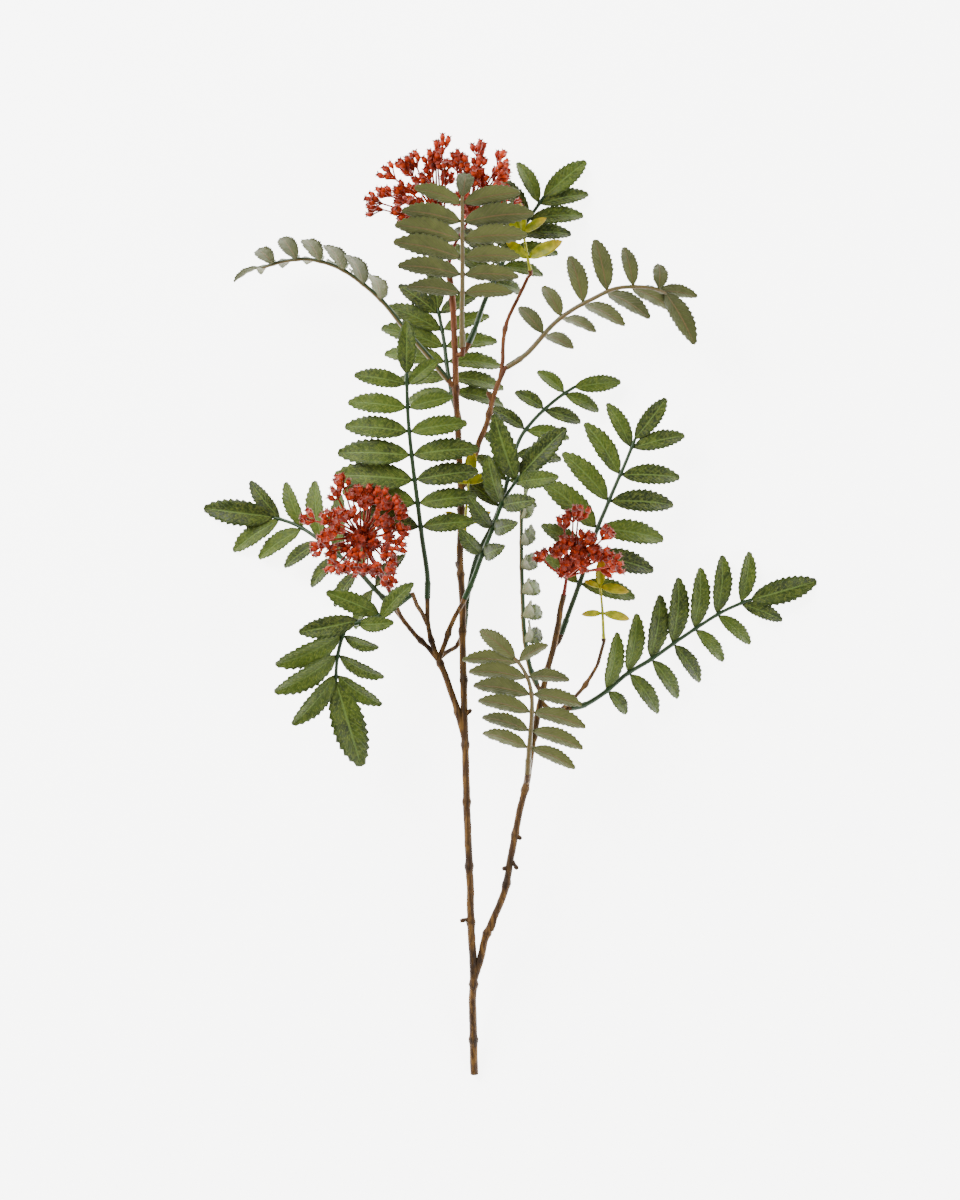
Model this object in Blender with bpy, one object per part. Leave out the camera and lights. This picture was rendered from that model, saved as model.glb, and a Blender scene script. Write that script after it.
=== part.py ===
"""Rowan berry sprig, lying on a surface: a forked woody stem, compound leaves, berry heads and young sprouts.

Tables are in millimetres: +X to the right of the sprig, +Y towards its top, +Z up from the surface.
Every compound leaf, head and sprout is one moulded piece that plugs on a peg of the stem, with a
small gap there.
"""
import math
import random
from dataclasses import dataclass

import bmesh
import bpy
from mathutils import Matrix, Vector

MM = 0.001
FIT_GAP = 0.3
# Moves the tables' middle to the middle of the finished sprig's box.
CENTRE_SHIFT = Vector((-0.5, 2.3, 0.0))

LEAFLET_WIDTH_SHARE = 0.36
LEAFLET_LEAST_WIDTH = 13.0
# A leaflet's outline: how fast it widens from the foot and narrows to the tip, and what brings it to full width.
OUTLINE_FOOT = 0.6
OUTLINE_TIP = 0.7
OUTLINE_FULLNESS = 2.46
LEAFLET_TEETH = 3
BLADE_RIB_SHARE = 0.5
TOOTH_NOTCH = 0.22
TOOTH_POINT = 0.86
SHORT_LEAFLET = 47.0
YOUNG_EDGE_SHARES = (0.3, 0.7)
TOOTH_DEPTH_SHARE = 0.22
BLADE_THICKNESS = 0.7
BLADE_FOLD = 0.28
BLADE_ARCH = 0.08
BLADE_TILT = 0.35
PLANE_STEADINESS = 0.35

SLEEVE_RADIUS = 2.6
SLEEVE_LENGTH = 13
RACHIS_RADIUS = 2.2
RACHIS_TIP_RADIUS = 1.4
RACHIS_STEP = 20.0
PAIRS_END = 0.95
FOOT_HALF_WIDTH = 1

STEM_SIDES = 6
STEM_STEP = 20.0
KNOT_LENGTH = 4
KNOT_HEIGHT = 0.8
PEG_LENGTH = 6.0
PEG_RADIUS = 2.4
PEG_SIDES = 5
STUB_RADIUS = 2.0

BUD_LENGTH = 6.6
# Where a berry's foot, belly, neck and star lie, as shares of its length back from the star.
BUD_PROFILE_SHARES = (1.0, 0.62, 0.22, 0.0)
BUD_RADIUS = 2.3
BUD_NECK_RADIUS = 1.3
BUD_STAR_RADIUS = 2.2
PEDICEL_RADIUS = 0.65
RAY_RADIUS = 0.9
HEAD_STALK_RADIUS = 1.7
FORK_RADIUS = 1.3
BUD_SIDES = 4
BUDS_PER_TUFT = 4
TUFT_SPREAD = 13.0
TUFT_SAG = 0.35
KNEE_SHARE = 0.66
GOLDEN_ANGLE = math.pi * (3.0 - math.sqrt(5.0))

YOUNG_SLEEVE_LENGTH = 4
YOUNG_STOUTNESS = 0.6


@dataclass(frozen=True)
class Frond:
    """One compound leaf or sprout: its stalk, and the curves on which its leaflets' tips lie."""

    name: str
    stalk: tuple
    bare: float
    pairs: int
    left: tuple
    right: tuple
    tip: tuple
    face: tuple
    young: bool = False


@dataclass(frozen=True)
class Head:
    """One berry head: a stalk to the hubs, and a crown of tufts of buds on a part of an ellipsoid."""

    name: str
    stalk: tuple
    hubs: tuple
    centre: tuple
    radii: tuple
    axis: tuple
    spread: float
    tufts: int
    seed: int


@dataclass(frozen=True)
class Twig:
    """One length of wood: its route, its end radii, where its knots are and the piece it carries."""

    route: tuple
    radii: tuple
    knots: tuple = ()
    carries: str = ""


UPPER_SIDE_TO_VIEWER = (0.0, 0.0, 1.0)
UNDERSIDE_TO_VIEWER = (0.0, 0.0, -1.0)

FRONDS = (
    Frond(
        "leaf_top_front",
        ((-38, 204, 55), (-38.5, 226, 61), (-38, 250, 69), (-38, 282, 80), (-38, 310, 88), (-38, 322, 91)),
        0.36, 6,
        ((-82, 251, 70), (-91, 272, 77), (-93, 294, 84), (-88, 306, 90), (-76, 328, 95)),
        ((2, 246, 70), (8, 262, 76), (9, 282, 82), (20, 303, 88), (8, 324, 94)),
        (-35, 336, 126), UNDERSIDE_TO_VIEWER,
    ),
    Frond(
        "leaf_left_arching",
        ((-50, 178, 50), (-64, 195, 54), (-84, 218, 59), (-104, 242, 63), (-132, 264, 65), (-158, 273, 63),
         (-180, 272, 60), (-198, 267, 57)),
        0.44, 6,
        ((-110, 258, 104), (-134, 277, 106), (-154, 283, 104), (-176, 289, 98), (-200, 279, 90)),
        ((-108, 250, 26), (-132, 268, 24), (-154, 272, 22), (-178, 270, 20), (-200, 264, 22)),
        (-221, 256, 48), (0.1, 1.0, -0.1),
    ),
    Frond(
        "leaf_top_back",
        ((-42, 152, 38), (-46, 166, 32), (-50, 186, 25), (-53, 210, 19), (-56, 227, 16), (-58, 237, 15)),
        0.20, 6,
        ((-84, 160, 18), (-95, 182, 13), (-104, 212, 9), (-101, 234, 8), (-90, 256, 9)),
        ((-5, 158, 16), (-5, 176, 12), (-8, 200, 10), (-14, 226, 9), (-26, 248, 10)),
        (-62, 274, 10), UPPER_SIDE_TO_VIEWER,
    ),
    Frond(
        "leaf_back_right",
        ((-33, 207, 47), (-27, 222, 44), (-20, 242, 37), (-10, 264, 29), (3, 290, 21), (16, 310, 15),
         (28, 328, 10)),
        0.40, 6,
        ((-50, 288, 12), (-42, 306, 8), (-30, 324, 5), (-14, 340, 3), (6, 356, 1)),
        ((10, 249, 16), (31, 268, 12), (44, 290, 8), (58, 308, 4), (64, 330, 2)),
        (62, 357, 0), UPPER_SIDE_TO_VIEWER,
    ),
    Frond(
        "leaf_right_arching",
        ((-2, 188, 53), (14, 199, 57), (34, 221, 63), (50, 233, 67), (65, 241, 69), (82, 249, 70),
         (98, 251, 69),
         (114, 250, 66), (125, 246, 62)),
        0.26, 6,
        ((7, 234, 84), (26, 250, 90), (47, 274, 92), (67, 287, 92), (90, 281, 90), (118, 268, 84)),
        ((51, 203, 38), (69, 216, 42), (92, 221, 44), (112, 227, 46), (134, 232, 50), (150, 244, 54)),
        (148, 206, 48), (0.0, 0.45, -0.9),
    ),
    Frond(
        "leaf_front_left",
        ((-66, 3, 63), (-66, 22, 66), (-70, 50, 70), (-74, 82, 75), (-78, 114, 80), (-81, 146, 84),
         (-82, 174, 87),
         (-82, 182, 88)),
        0.32, 7,
        ((-122, 70, 64), (-136, 92, 64), (-141, 106, 66), (-133, 132, 72), (-130, 154, 78),
         (-124, 180, 84)),
        ((-28, 64, 70), (-26, 84, 70), (-25, 104, 72), (-25, 122, 74), (-34, 142, 77), (-45, 163, 81),
         (-57, 192, 86)),
        (-82, 223, 92), UPPER_SIDE_TO_VIEWER,
    ),
    Frond(
        "leaf_left_low",
        ((-94, -4, 47), (-108, 10, 42), (-124, 27, 35), (-141, 40, 28), (-156, 52, 22), (-172, 62, 15),
         (-192, 69, 9)),
        0.17, 6,
        ((-84, 38, 42), (-108, 66, 34), (-136, 87, 25), (-157, 98, 18), (-181, 97, 10), (-210, 98, 4)),
        ((-124, -22, 34), (-141, -4, 28), (-160, 12, 20), (-182, 28, 12), (-203, 35, 5), (-224, 41, 0)),
        (-248, 76, 0), UPPER_SIDE_TO_VIEWER,
    ),
    Frond(
        "leaf_left_drooping",
        ((-80, 5, 76), (-92, -4, 84), (-106, -12, 88), (-120, -16, 87), (-130, -21, 83), (-135, -33, 77),
         (-138, -48, 70), (-139, -64, 62)),
        0.28, 5,
        ((-146, 8, 94), (-168, -24, 84), (-187, -50, 74), (-188, -72, 68), (-174, -98, 62)),
        ((-76, 15, 105), (-92, -16, 98), (-104, -36, 84), (-100, -60, 70), (-102, -82, 58)),
        (-119, -132, 40), UPPER_SIDE_TO_VIEWER,
    ),
    Frond(
        "leaf_centre_back",
        ((-37, -22, 38), (-33, 10, 38), (-26, 38, 38), (-14, 62, 38), (-5, 86, 37), (1, 110, 35),
         (8, 131, 32),
         (18, 145, 28), (30, 157, 24), (41, 166, 20), (53, 174, 16)),
        0.46, 6,
        ((-38, 98, 32), (-28, 118, 31), (-22, 136, 30), (-17, 156, 28), (4, 169, 23), (22, 186, 16)),
        ((22, 78, 26), (36, 100, 22), (45, 124, 18), (54, 142, 14), (72, 154, 9)),
        (90, 178, 7), UPPER_SIDE_TO_VIEWER,
    ),
    Frond(
        "leaf_centre_front",
        ((-36, 3, 67), (-29, 19, 73), (-22, 38, 82), (-14, 58, 92), (-8, 74, 100), (-2, 86, 107),
         (8, 100, 115)),
        0.34, 4,
        ((-40, 58, 100), (-33, 84, 112), (-18, 116, 122), (-13, 148, 126)),
        ((-4, 44, 112), (6, 62, 124), (20, 80, 134), (38, 98, 138)),
        (44, 137, 124), (-0.4, -0.3, 0.85),
    ),
    Frond(
        "leaf_centre_upright",
        ((21, -65, 55), (17, -56, 60), (14, -44, 63), (11, -22, 66), (10, 2, 67), (9, 34, 67),
         (9, 66, 66), (9, 74, 66)),
        0.26, 6,
        ((14, -16, 98), (17, 2, 99), (14, 24, 97), (12, 48, 92), (10, 84, 84)),
        ((25, -24, 44), (25, -2, 43), (22, 24, 43), (19, 54, 43), (16, 84, 45)),
        (8, 104, 68), (0.9, 0.0, 0.35),
    ),
    Frond(
        "leaf_low_front",
        ((14, -137, 57), (15, -119, 66), (17, -92, 77), (17, -75, 83), (14, -61, 88), (8, -50, 94),
         (3, -44, 98)),
        0.22, 6,
        ((-22, -104, 80), (-23, -88, 84), (-28, -72, 90), (-32, -58, 94), (-38, -46, 96)),
        ((52, -133, 64), (58, -117, 70), (60, -100, 76), (57, -82, 82), (47, -62, 90), (30, -34, 96)),
        (-24, -22, 116), UNDERSIDE_TO_VIEWER,
    ),
    Frond(
        "leaf_right_low",
        ((49, -85, 44), (61, -82, 40), (77, -72, 34), (94, -58, 28), (114, -46, 23), (140, -28, 17),
         (168, -10, 11),
         (187, -1, 8), (196, 2, 6)),
        0.20, 7,
        ((86, -24, 34), (102, -9, 28), (121, 6, 22), (136, 20, 16), (154, 28, 11), (172, 38, 6),
         (194, 41, 2)),
        ((94, -90, 22), (120, -90, 12), (136, -78, 7), (154, -65, 3), (173, -48, 1), (195, -34, 0),
         (221, -15, 0)),
        (249, 17, 0), UPPER_SIDE_TO_VIEWER,
    ),
    Frond(
        "leaf_right_upper",
        ((41, -26, 44), (46, -12, 42), (58, 21, 38), (70, 58, 36), (77, 75, 35), (85, 94, 34),
         (93, 112, 33),
         (101, 132, 32)),
        0.26, 6,
        ((24, 38, 31), (25, 62, 31), (25, 98, 32), (42, 120, 33), (60, 144, 32), (78, 160, 30)),
        ((101, 3, 26), (116, 25, 23), (124, 50, 21), (132, 78, 21), (137, 100, 22), (141, 134, 24)),
        (126, 164, 24), UPPER_SIDE_TO_VIEWER,
    ),
)

HEADS = (
    Head(
        "berry_head_top",
        ((-49, 270, 48), (-49, 278, 48)),
        ((-55, 304, 48), (-33, 306, 48)),
        (-46, 306, 49), (78, 75, 21), (0.0, 1.0, 0.0), 88.0, 8, 3,
    ),
    Head(
        "berry_head_left",
        ((-92, -1, 58), (-98, 12, 66), (-108, 30, 75), (-115, 44, 81)),
        ((-117, 50, 84),),
        (-118, 54, 72), (58, 62, 42), (0.0, 0.0, 1.0), 64.0, 8, 5,
    ),
    Head(
        "berry_head_right",
        ((43, 6, 55), (44, 12, 58)),
        ((45, 20, 62),),
        (56, 22, 73), (40, 60, 18), (0.05, 1.0, 0.1), 84.0, 6, 8,
    ),
)

SPROUTS = (
    Frond(
        "sprout_centre",
        ((-36, 52, 54), (-35, 74, 57), (-33, 97, 59)),
        0.24, 2,
        ((-52, 72, 60), (-52, 101, 60)),
        ((-15, 72, 57), (-13, 103, 59)),
        (-30, 123, 60), UPPER_SIDE_TO_VIEWER, True,
    ),
    Frond(
        "sprout_right",
        ((75, -29, 47), (74, -8, 50), (72, 14, 52)),
        0.46, 2,
        ((57, -10, 50), (59, 17, 53)),
        ((96, -14, 48), (95, 8, 52)),
        (73, 36, 54), UPPER_SIDE_TO_VIEWER, True,
    ),
    Frond(
        "sprout_top",
        ((16, 265, 58), (13, 280, 62), (10, 297, 65)),
        0.30, 2,
        ((-4, 290, 62), (-7, 309, 65)),
        ((42, 288, 63), (29, 306, 66)),
        (8, 318, 67), UPPER_SIDE_TO_VIEWER, True,
    ),
)

TWIGS = (
    Twig(
        ((-28.5, -382, 3.2), (-29.5, -350, 12), (-30, -320, 22), (-29, -302, 28), (-31, -262, 36),
         (-32, -222, 41),
         (-34, -182, 44), (-35, -142, 46), (-36, -110, 47), (-37, -70, 48), (-38, -30, 48),
         (-38, 2, 48), (-40, 34, 48),
         (-39, 82, 48), (-41, 122, 48), (-43, 162, 48), (-44, 202, 48), (-46, 242, 48), (-48.7, 262, 48)),
        (3.3, 2.5),
        (0.045, 0.12, 0.20, 0.27, 0.35, 0.42, 0.50, 0.56, 0.63, 0.71, 0.78, 0.86), "berry_head_top",
    ),
    Twig(
        ((-29, -304, 27.5), (-24, -288, 31), (-19, -268, 35), (-8, -242, 39), (-3, -226, 42), (2, -198, 45),
         (8, -166, 47), (13, -146, 48), (17, -120, 49), (22, -92, 50), (27, -68, 50), (31, -50, 51),
         (37, -26, 52),
         (40.6, -4, 53.2)),
        (3.1, 2.4),
        (0.13, 0.27, 0.40, 0.52, 0.66, 0.83), "berry_head_right",
    ),
    Twig(
        ((-35.5, -112, 47), (-43, -84, 48), (-50, -64, 49), (-57, -46, 50)),
        (2.9, 2.6), (0.35, 0.95),
    ),
    Twig(
        ((-57, -47, 50), (-66, -36, 50), (-76, -26, 50), (-85, -15, 49)),
        (2.1, 1.9), (0.5,), "leaf_left_low",
    ),
    Twig(((-84, -17, 49), (-88, -10, 52)), (1.8, 1.8), (), "berry_head_left"),
    Twig(((-57, -47, 50), (-63, -30, 53), (-66, -14, 58)), (2.2, 2.0), (0.5,), "leaf_front_left"),
    Twig(((-66, -18, 56), (-70, -9, 63), (-74, -3, 69)), (1.9, 1.8), (), "leaf_left_drooping"),
    Twig(
        ((-57, -46, 50), (-51, -30, 54), (-46, -16, 58), (-41, -6, 62)),
        (2.2, 1.9), (0.5,), "leaf_centre_front",
    ),
    Twig(((-57, -45, 50), (-50, -40, 44), (-43, -36, 38)), (2.1, 1.8), (), "leaf_centre_back"),
    Twig(
        ((-38, 92, 48), (-33, 106, 49), (-27, 122, 50), (-19, 142, 51), (-14, 162, 52), (-9, 176, 52)),
        (2.5, 2.1), (0.35, 0.7), "leaf_right_arching",
    ),
    Twig(
        ((-9, 174, 52), (-6, 190, 52), (-5, 212, 53), (0, 230, 54), (8, 246, 55), (14, 259, 56)),
        (1.8, 1.4), (0.5,), "sprout_top",
    ),
    Twig(((25, -80, 50), (32, -86, 48), (40, -87.5, 46)), (2.2, 2.0), (), "leaf_right_low"),
    Twig(
        ((40, -87, 46), (52, -76, 47), (61, -65, 47), (69, -52, 47), (73, -40, 47)),
        (1.7, 1.4), (0.5,), "sprout_right",
    ),
)

# Cut stubs of side twigs, each from the middle of the stem to its cut end.
STUBS = (
    ((-31.5, -254, 37.5), (-40, -256, 38)),
    ((-9, -243, 39), (-14.5, -264, 38)),
    ((0, -212, 43), (-6, -214, 45)),
    ((2, -208, 44), (6, -214, 46)),
    ((5, -186, 46), (9, -190, 47)),
    ((-37, -92, 47.5), (-31, -86, 49)),
    ((-39, 22, 48), (-43, 32, 44)),
    ((-14, 160, 52), (-18, 168, 53)),
)

# The pieces that plug on a peg at the side of the stem, and the point of the wood that each peg grows from.
SIDE_PEGS = {
    "leaf_top_front": (-43.5, 198, 48),
    "leaf_left_arching": (-43.5, 172, 48),
    "leaf_top_back": (-42.5, 144, 48),
    "leaf_back_right": (-44, 196, 48),
    "leaf_centre_upright": (28, -68, 50),
    "leaf_low_front": (13, -146, 48),
    "leaf_right_upper": (33.5, -38, 51.5),
    "sprout_centre": (-39.5, 46, 48),
}
STALKS = {item.name: item.stalk for item in (*FRONDS, *HEADS, *SPROUTS)}


def clear_scene():
    """Remove every object that a new file starts with."""
    for obj in list(bpy.data.objects):
        bpy.data.objects.remove(obj, do_unlink=True)


def plastic(name, colour, roughness):
    """Make a moulded plastic or wrapped finish of one colour."""
    material = bpy.data.materials.new(name)
    material.use_nodes = True
    shader = material.node_tree.nodes["Principled BSDF"]
    shader.inputs["Base Color"].default_value = (*colour, 1.0)
    shader.inputs["Roughness"].default_value = roughness
    shader.inputs["Metallic"].default_value = 0.0
    material.diffuse_color = (*colour, 1.0)
    return material


def smooth_point(points, share):
    """Return the point at a share of a smooth curve through the points, counted point by point."""
    last = len(points) - 1
    place = min(max(share, 0.0), 1.0) * last
    index = min(int(place), last - 1)
    part = place - index
    before, start, end, after = (points[min(max(index + k, 0), last)] for k in (-1, 0, 1, 2))
    slope_in = (end - before) * 0.5
    slope_out = (after - start) * 0.5
    return (
        start * (2 * part**3 - 3 * part**2 + 1)
        + slope_in * (part**3 - 2 * part**2 + part)
        + end * (3 * part**2 - 2 * part**3)
        + slope_out * (part**3 - part**2)
    )


def smooth_route(points, step):
    """Return points at even steps of length along the smooth curve through the given points."""
    nodes = [Vector(point) for point in points]
    fine = [smooth_point(nodes, k / 200) for k in range(201)]
    lengths = [0.0]
    for before, after in zip(fine, fine[1:]):
        lengths.append(lengths[-1] + (after - before).length)
    count = max(1, round(lengths[-1] / step))
    route = []
    index = 0
    for k in range(count + 1):
        wanted = lengths[-1] * k / count
        while index < 199 and lengths[index + 1] < wanted:
            index += 1
        part = (wanted - lengths[index]) / max(lengths[index + 1] - lengths[index], 1e-9)
        route.append(fine[index].lerp(fine[index + 1], part))
    return route


def ring_matrix(place, along, side):
    """Return the matrix of a ring at a place, facing along, with its first point towards side."""
    across = (side - along * side.dot(along)).normalized()
    matrix = Matrix((across, along.cross(across), along)).transposed().to_4x4()
    matrix.translation = place
    return matrix


def swept_tube(route, radii, sides, side=(0.13, 0.21, 1.0)):
    """Make a closed tube along a route: a ring of edges, extruded from place to place and filled."""
    side = Vector(side)
    rings = []
    for k, place in enumerate(route):
        along = (route[min(k + 1, len(route) - 1)] - route[max(k - 1, 0)]).normalized()
        if abs(side.normalized().dot(along)) > 0.95:
            side = along.orthogonal()
        matrix = ring_matrix(place, along, side)
        side = matrix.col[0].to_3d()
        half_turn = Matrix.Rotation(math.pi / sides, 4, "Z")
        rings.append(matrix @ half_turn @ Matrix.Diagonal((radii[k], radii[k], 1.0, 1.0)))
    mesh = bmesh.new()
    bmesh.ops.create_circle(mesh, cap_ends=False, segments=sides, radius=1.0, matrix=rings[0])
    edges = mesh.edges[:]
    for before, after in zip(rings, rings[1:]):
        made = bmesh.ops.extrude_edge_only(mesh, edges=edges)["geom"]
        edges = [item for item in made if isinstance(item, bmesh.types.BMEdge)]
        verts = [item for item in made if isinstance(item, bmesh.types.BMVert)]
        bmesh.ops.transform(mesh, matrix=after @ before.inverted(), verts=verts)
    bmesh.ops.holes_fill(mesh, edges=mesh.edges[:])
    return mesh


def half_width(share, width):
    """Return a leaflet's half width at a share of its length: widest before the middle, pointed last."""
    return 0.5 * width * OUTLINE_FULLNESS * share**OUTLINE_FOOT * (1.0 - share) ** OUTLINE_TIP


def edge_points(length, width, young):
    """Return one side of a leaflet's edge, foot to tip, as (along, outward) pairs of notches and points."""
    if young:
        return [(share * length, 0.95 * half_width(share, width)) for share in YOUNG_EDGE_SHARES]
    teeth = LEAFLET_TEETH if length > SHORT_LEAFLET else LEAFLET_TEETH - 1
    points = []
    for k in range(teeth):
        notch = (k + TOOTH_NOTCH) / (teeth + 0.1)
        point = (k + TOOTH_POINT) / (teeth + 0.1)
        points.append((length * notch, (1.0 - TOOTH_DEPTH_SHARE) * half_width(notch, width)))
        points.append((length * point, half_width(point, width)))
    return points


def add_blade(mesh, feet, tip, face, young):
    """Add one leaflet's mid-surface to a sheet, from its three foot vertices, folded towards face."""
    left, middle, right = feet
    along = tip - middle.co
    length = along.length
    along.normalize()
    up = (face - along * face.dot(along)).normalized()
    across = up.cross(along)
    width = max(LEAFLET_WIDTH_SHARE * length, 0.0 if young else LEAFLET_LEAST_WIDTH)

    def placed(x, y):
        arch = BLADE_ARCH * length * math.sin(math.pi * x / length)
        spot = middle.co + along * x + across * y + up * (BLADE_FOLD * abs(y) + arch)
        spot.z = max(spot.z, 0.5 * BLADE_THICKNESS)
        return mesh.verts.new(spot)

    rib = placed(BLADE_RIB_SHARE * length, 0.0)
    apex = placed(length, 0.0)
    for hand, corner in ((1.0, left), (-1.0, right)):
        edge = [placed(x, hand * y) for x, y in edge_points(length, width, young)]
        ring = [middle, rib, apex, *reversed(edge), corner]
        mesh.faces.new(ring[::-1] if hand > 0 else ring)


def turn_outward(mesh):
    """Make a closed working mesh's faces point out."""
    bmesh.ops.recalc_face_normals(mesh, faces=mesh.faces[:])
    if mesh.calc_volume(signed=True) < 0:
        bmesh.ops.reverse_faces(mesh, faces=mesh.faces[:])


def to_object(mesh, name):
    """Turn a working mesh into an object with its faces out."""
    turn_outward(mesh)
    data = bpy.data.meshes.new(name)
    mesh.to_mesh(data)
    mesh.free()
    return bpy.data.objects.new(name, data)


def finish(node, material):
    """Bring a node made in millimetres to metres at its place, and give it its material and shading."""
    mesh = node.data
    mesh.name = node.name
    mesh.transform(Matrix.Scale(MM, 4) @ Matrix.Translation(CENTRE_SHIFT))
    mesh.materials.clear()
    mesh.materials.append(material)
    mesh.shade_smooth()
    mesh.set_sharp_from_angle(angle=math.radians(35))
    return node


def fuse(name, pieces, material):
    """Join closed pieces into one node with one Boolean union, and leave only the node."""
    scene = bpy.context.scene.collection
    node = to_object(pieces[0], name)
    scene.objects.link(node)
    others = bpy.data.collections.new(name + "_pieces")
    scene.children.link(others)
    for k, piece in enumerate(pieces[1:]):
        others.objects.link(to_object(piece, f"{name}_piece_{k}"))
    union = node.modifiers.new("Union", "BOOLEAN")
    union.operation = "UNION"
    union.operand_type = "COLLECTION"
    union.collection = others
    union.solver = "MANIFOLD"
    bpy.context.view_layer.update()
    graph = bpy.context.evaluated_depsgraph_get()
    joined = bpy.data.meshes.new_from_object(node.evaluated_get(graph))
    node.modifiers.remove(union)
    node.data = joined
    for piece in list(others.objects):
        bpy.data.objects.remove(piece, do_unlink=True)
    bpy.data.collections.remove(others)
    return finish(node, material)


def peg_end(name):
    """Return where the peg under a plugged-on piece ends, just short of it, and where it points."""
    first, second = (Vector(point) for point in STALKS[name][:2])
    along = (second - first).normalized()
    return first - along * FIT_GAP, along


def side_peg(name, foot):
    """Make the peg of wood at the side of the stem that a piece plugs on."""
    end, along = peg_end(name)
    foot = Vector(foot)
    bend = end - along * min(PEG_LENGTH, 0.6 * (end - foot).length)
    return swept_tube([foot, bend, end], [0.8 * PEG_RADIUS, 0.85 * PEG_RADIUS, PEG_RADIUS], PEG_SIDES)


def wood(twig):
    """Make one twig: a tapering tube with a ring of bark at each knot, and the peg at its end if any."""
    fine = smooth_route(twig.route, 1.0)
    total = len(fine) - 1
    steps = max(1, round(total / STEM_STEP))
    places = {round(total * k / steps) for k in range(steps + 1)}
    knots = {round(knot * total) for knot in twig.knots}
    for knot in knots:
        places -= {place for place in places if abs(place - knot) <= 2 * KNOT_LENGTH and 0 < place < total}
        places |= {min(max(knot + offset, 0), total) for offset in (-KNOT_LENGTH, 0, KNOT_LENGTH)}
    route = []
    radii = []
    for place in sorted(places):
        route.append(fine[place])
        radius = twig.radii[0] + (twig.radii[1] - twig.radii[0]) * place / total
        radii.append(radius + (KNOT_HEIGHT if place in knots else 0.0))
    if twig.carries:
        end, along = peg_end(twig.carries)
        route += [end - along * PEG_LENGTH * 0.5, end]
        radii += [twig.radii[1], max(twig.radii[1], 0.9 * PEG_RADIUS)]
    return swept_tube(route, radii, STEM_SIDES)


def make_stem(material):
    """Make the woody stem with its twigs, cut stubs and pegs as one node."""
    pieces = [wood(twig) for twig in TWIGS]
    for foot, end in STUBS:
        pieces.append(swept_tube([Vector(foot), Vector(end)], [STUB_RADIUS, 0.75 * STUB_RADIUS], PEG_SIDES))
    pieces.extend(side_peg(name, foot) for name, foot in SIDE_PEGS.items())
    return fuse("woody_stem", pieces, material)


def thicken(name, sheet, thick, material):
    """Give a sheet of mid-surfaces its thickness, full at the vertices named thick, and make it a node."""
    bmesh.ops.recalc_face_normals(sheet, faces=sheet.faces[:])
    bmesh.ops.triangulate(sheet, faces=sheet.faces[:], ngon_method="EAR_CLIP")
    sheet.verts.index_update()
    weights = {vert.index: thick.get(vert, BLADE_THICKNESS) for vert in sheet.verts}
    data = bpy.data.meshes.new(name)
    sheet.to_mesh(data)
    sheet.free()
    node = bpy.data.objects.new(name, data)
    bpy.context.scene.collection.objects.link(node)
    group = node.vertex_groups.new(name="thickness")
    fullest = max(weights.values())
    for index, weight in weights.items():
        group.add([index], weight / fullest, "REPLACE")
    shell = node.modifiers.new("Thickness", "SOLIDIFY")
    shell.thickness = fullest
    shell.offset = 0.0
    shell.vertex_group = group.name
    shell.use_even_offset = False
    bpy.context.view_layer.update()
    solid = bpy.data.meshes.new_from_object(node.evaluated_get(bpy.context.evaluated_depsgraph_get()))
    node.modifiers.remove(shell)
    node.vertex_groups.clear()
    outward = bmesh.new()
    outward.from_mesh(solid)
    turn_outward(outward)
    outward.to_mesh(solid)
    outward.free()
    node.data = solid
    return finish(node, material)


def blade_planes(frond, fine, pairs, tips):
    """Return, for each pair of leaflets, the direction that their upper sides face."""
    planes = []
    for pair, (left, right) in zip(pairs, tips):
        along = (fine[min(pair + 2, len(fine) - 1)] - fine[pair - 2]).normalized()
        normal = along.cross(left - right) / (left - right).length
        if normal.dot(Vector(frond.face)) < 0.0:
            normal.negate()
        planes.append((normal + Vector(frond.face).normalized() * PLANE_STEADINESS).normalized())
    return planes


def plane_near(place, pairs, planes):
    """Return the direction that a frond's upper side faces at a place along it."""
    for k in range(len(pairs) - 1):
        if place < pairs[k + 1]:
            share = max(0.0, (place - pairs[k]) / (pairs[k + 1] - pairs[k]))
            return planes[k].lerp(planes[k + 1], share)
    return planes[-1]


def stalk_places(total, pairs, sleeve):
    """Return the places along a stalk, in whole millimetres, where its sheet has a row of vertices."""
    bare = max(1, round((pairs[0] - sleeve) / RACHIS_STEP))
    places = [0, sleeve - 1, sleeve]
    places += [round(sleeve + (pairs[0] - sleeve) * k / bare) for k in range(1, bare)]
    for pair in pairs:
        places += [pair - FOOT_HALF_WIDTH, pair, pair + FOOT_HALF_WIDTH]
    return [*places, total]


def add_stalk(sheet, rows):
    """Add a stalk's mid-surface: two faces from row to row, one each side of its middle line."""
    start = rows[0]
    waist = None
    for before, after in zip(rows, rows[1:]):
        if after[1] is None:
            start, waist = before, after
        elif waist:
            sheet.faces.new((start[1], start[0], waist[0], after[0], after[1]))
            sheet.faces.new((start[1], after[1], after[2], waist[2], start[2]))
            waist = None
        else:
            sheet.faces.new((before[1], before[0], after[0], after[1]))
            sheet.faces.new((before[1], after[1], after[2], before[2]))


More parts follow.
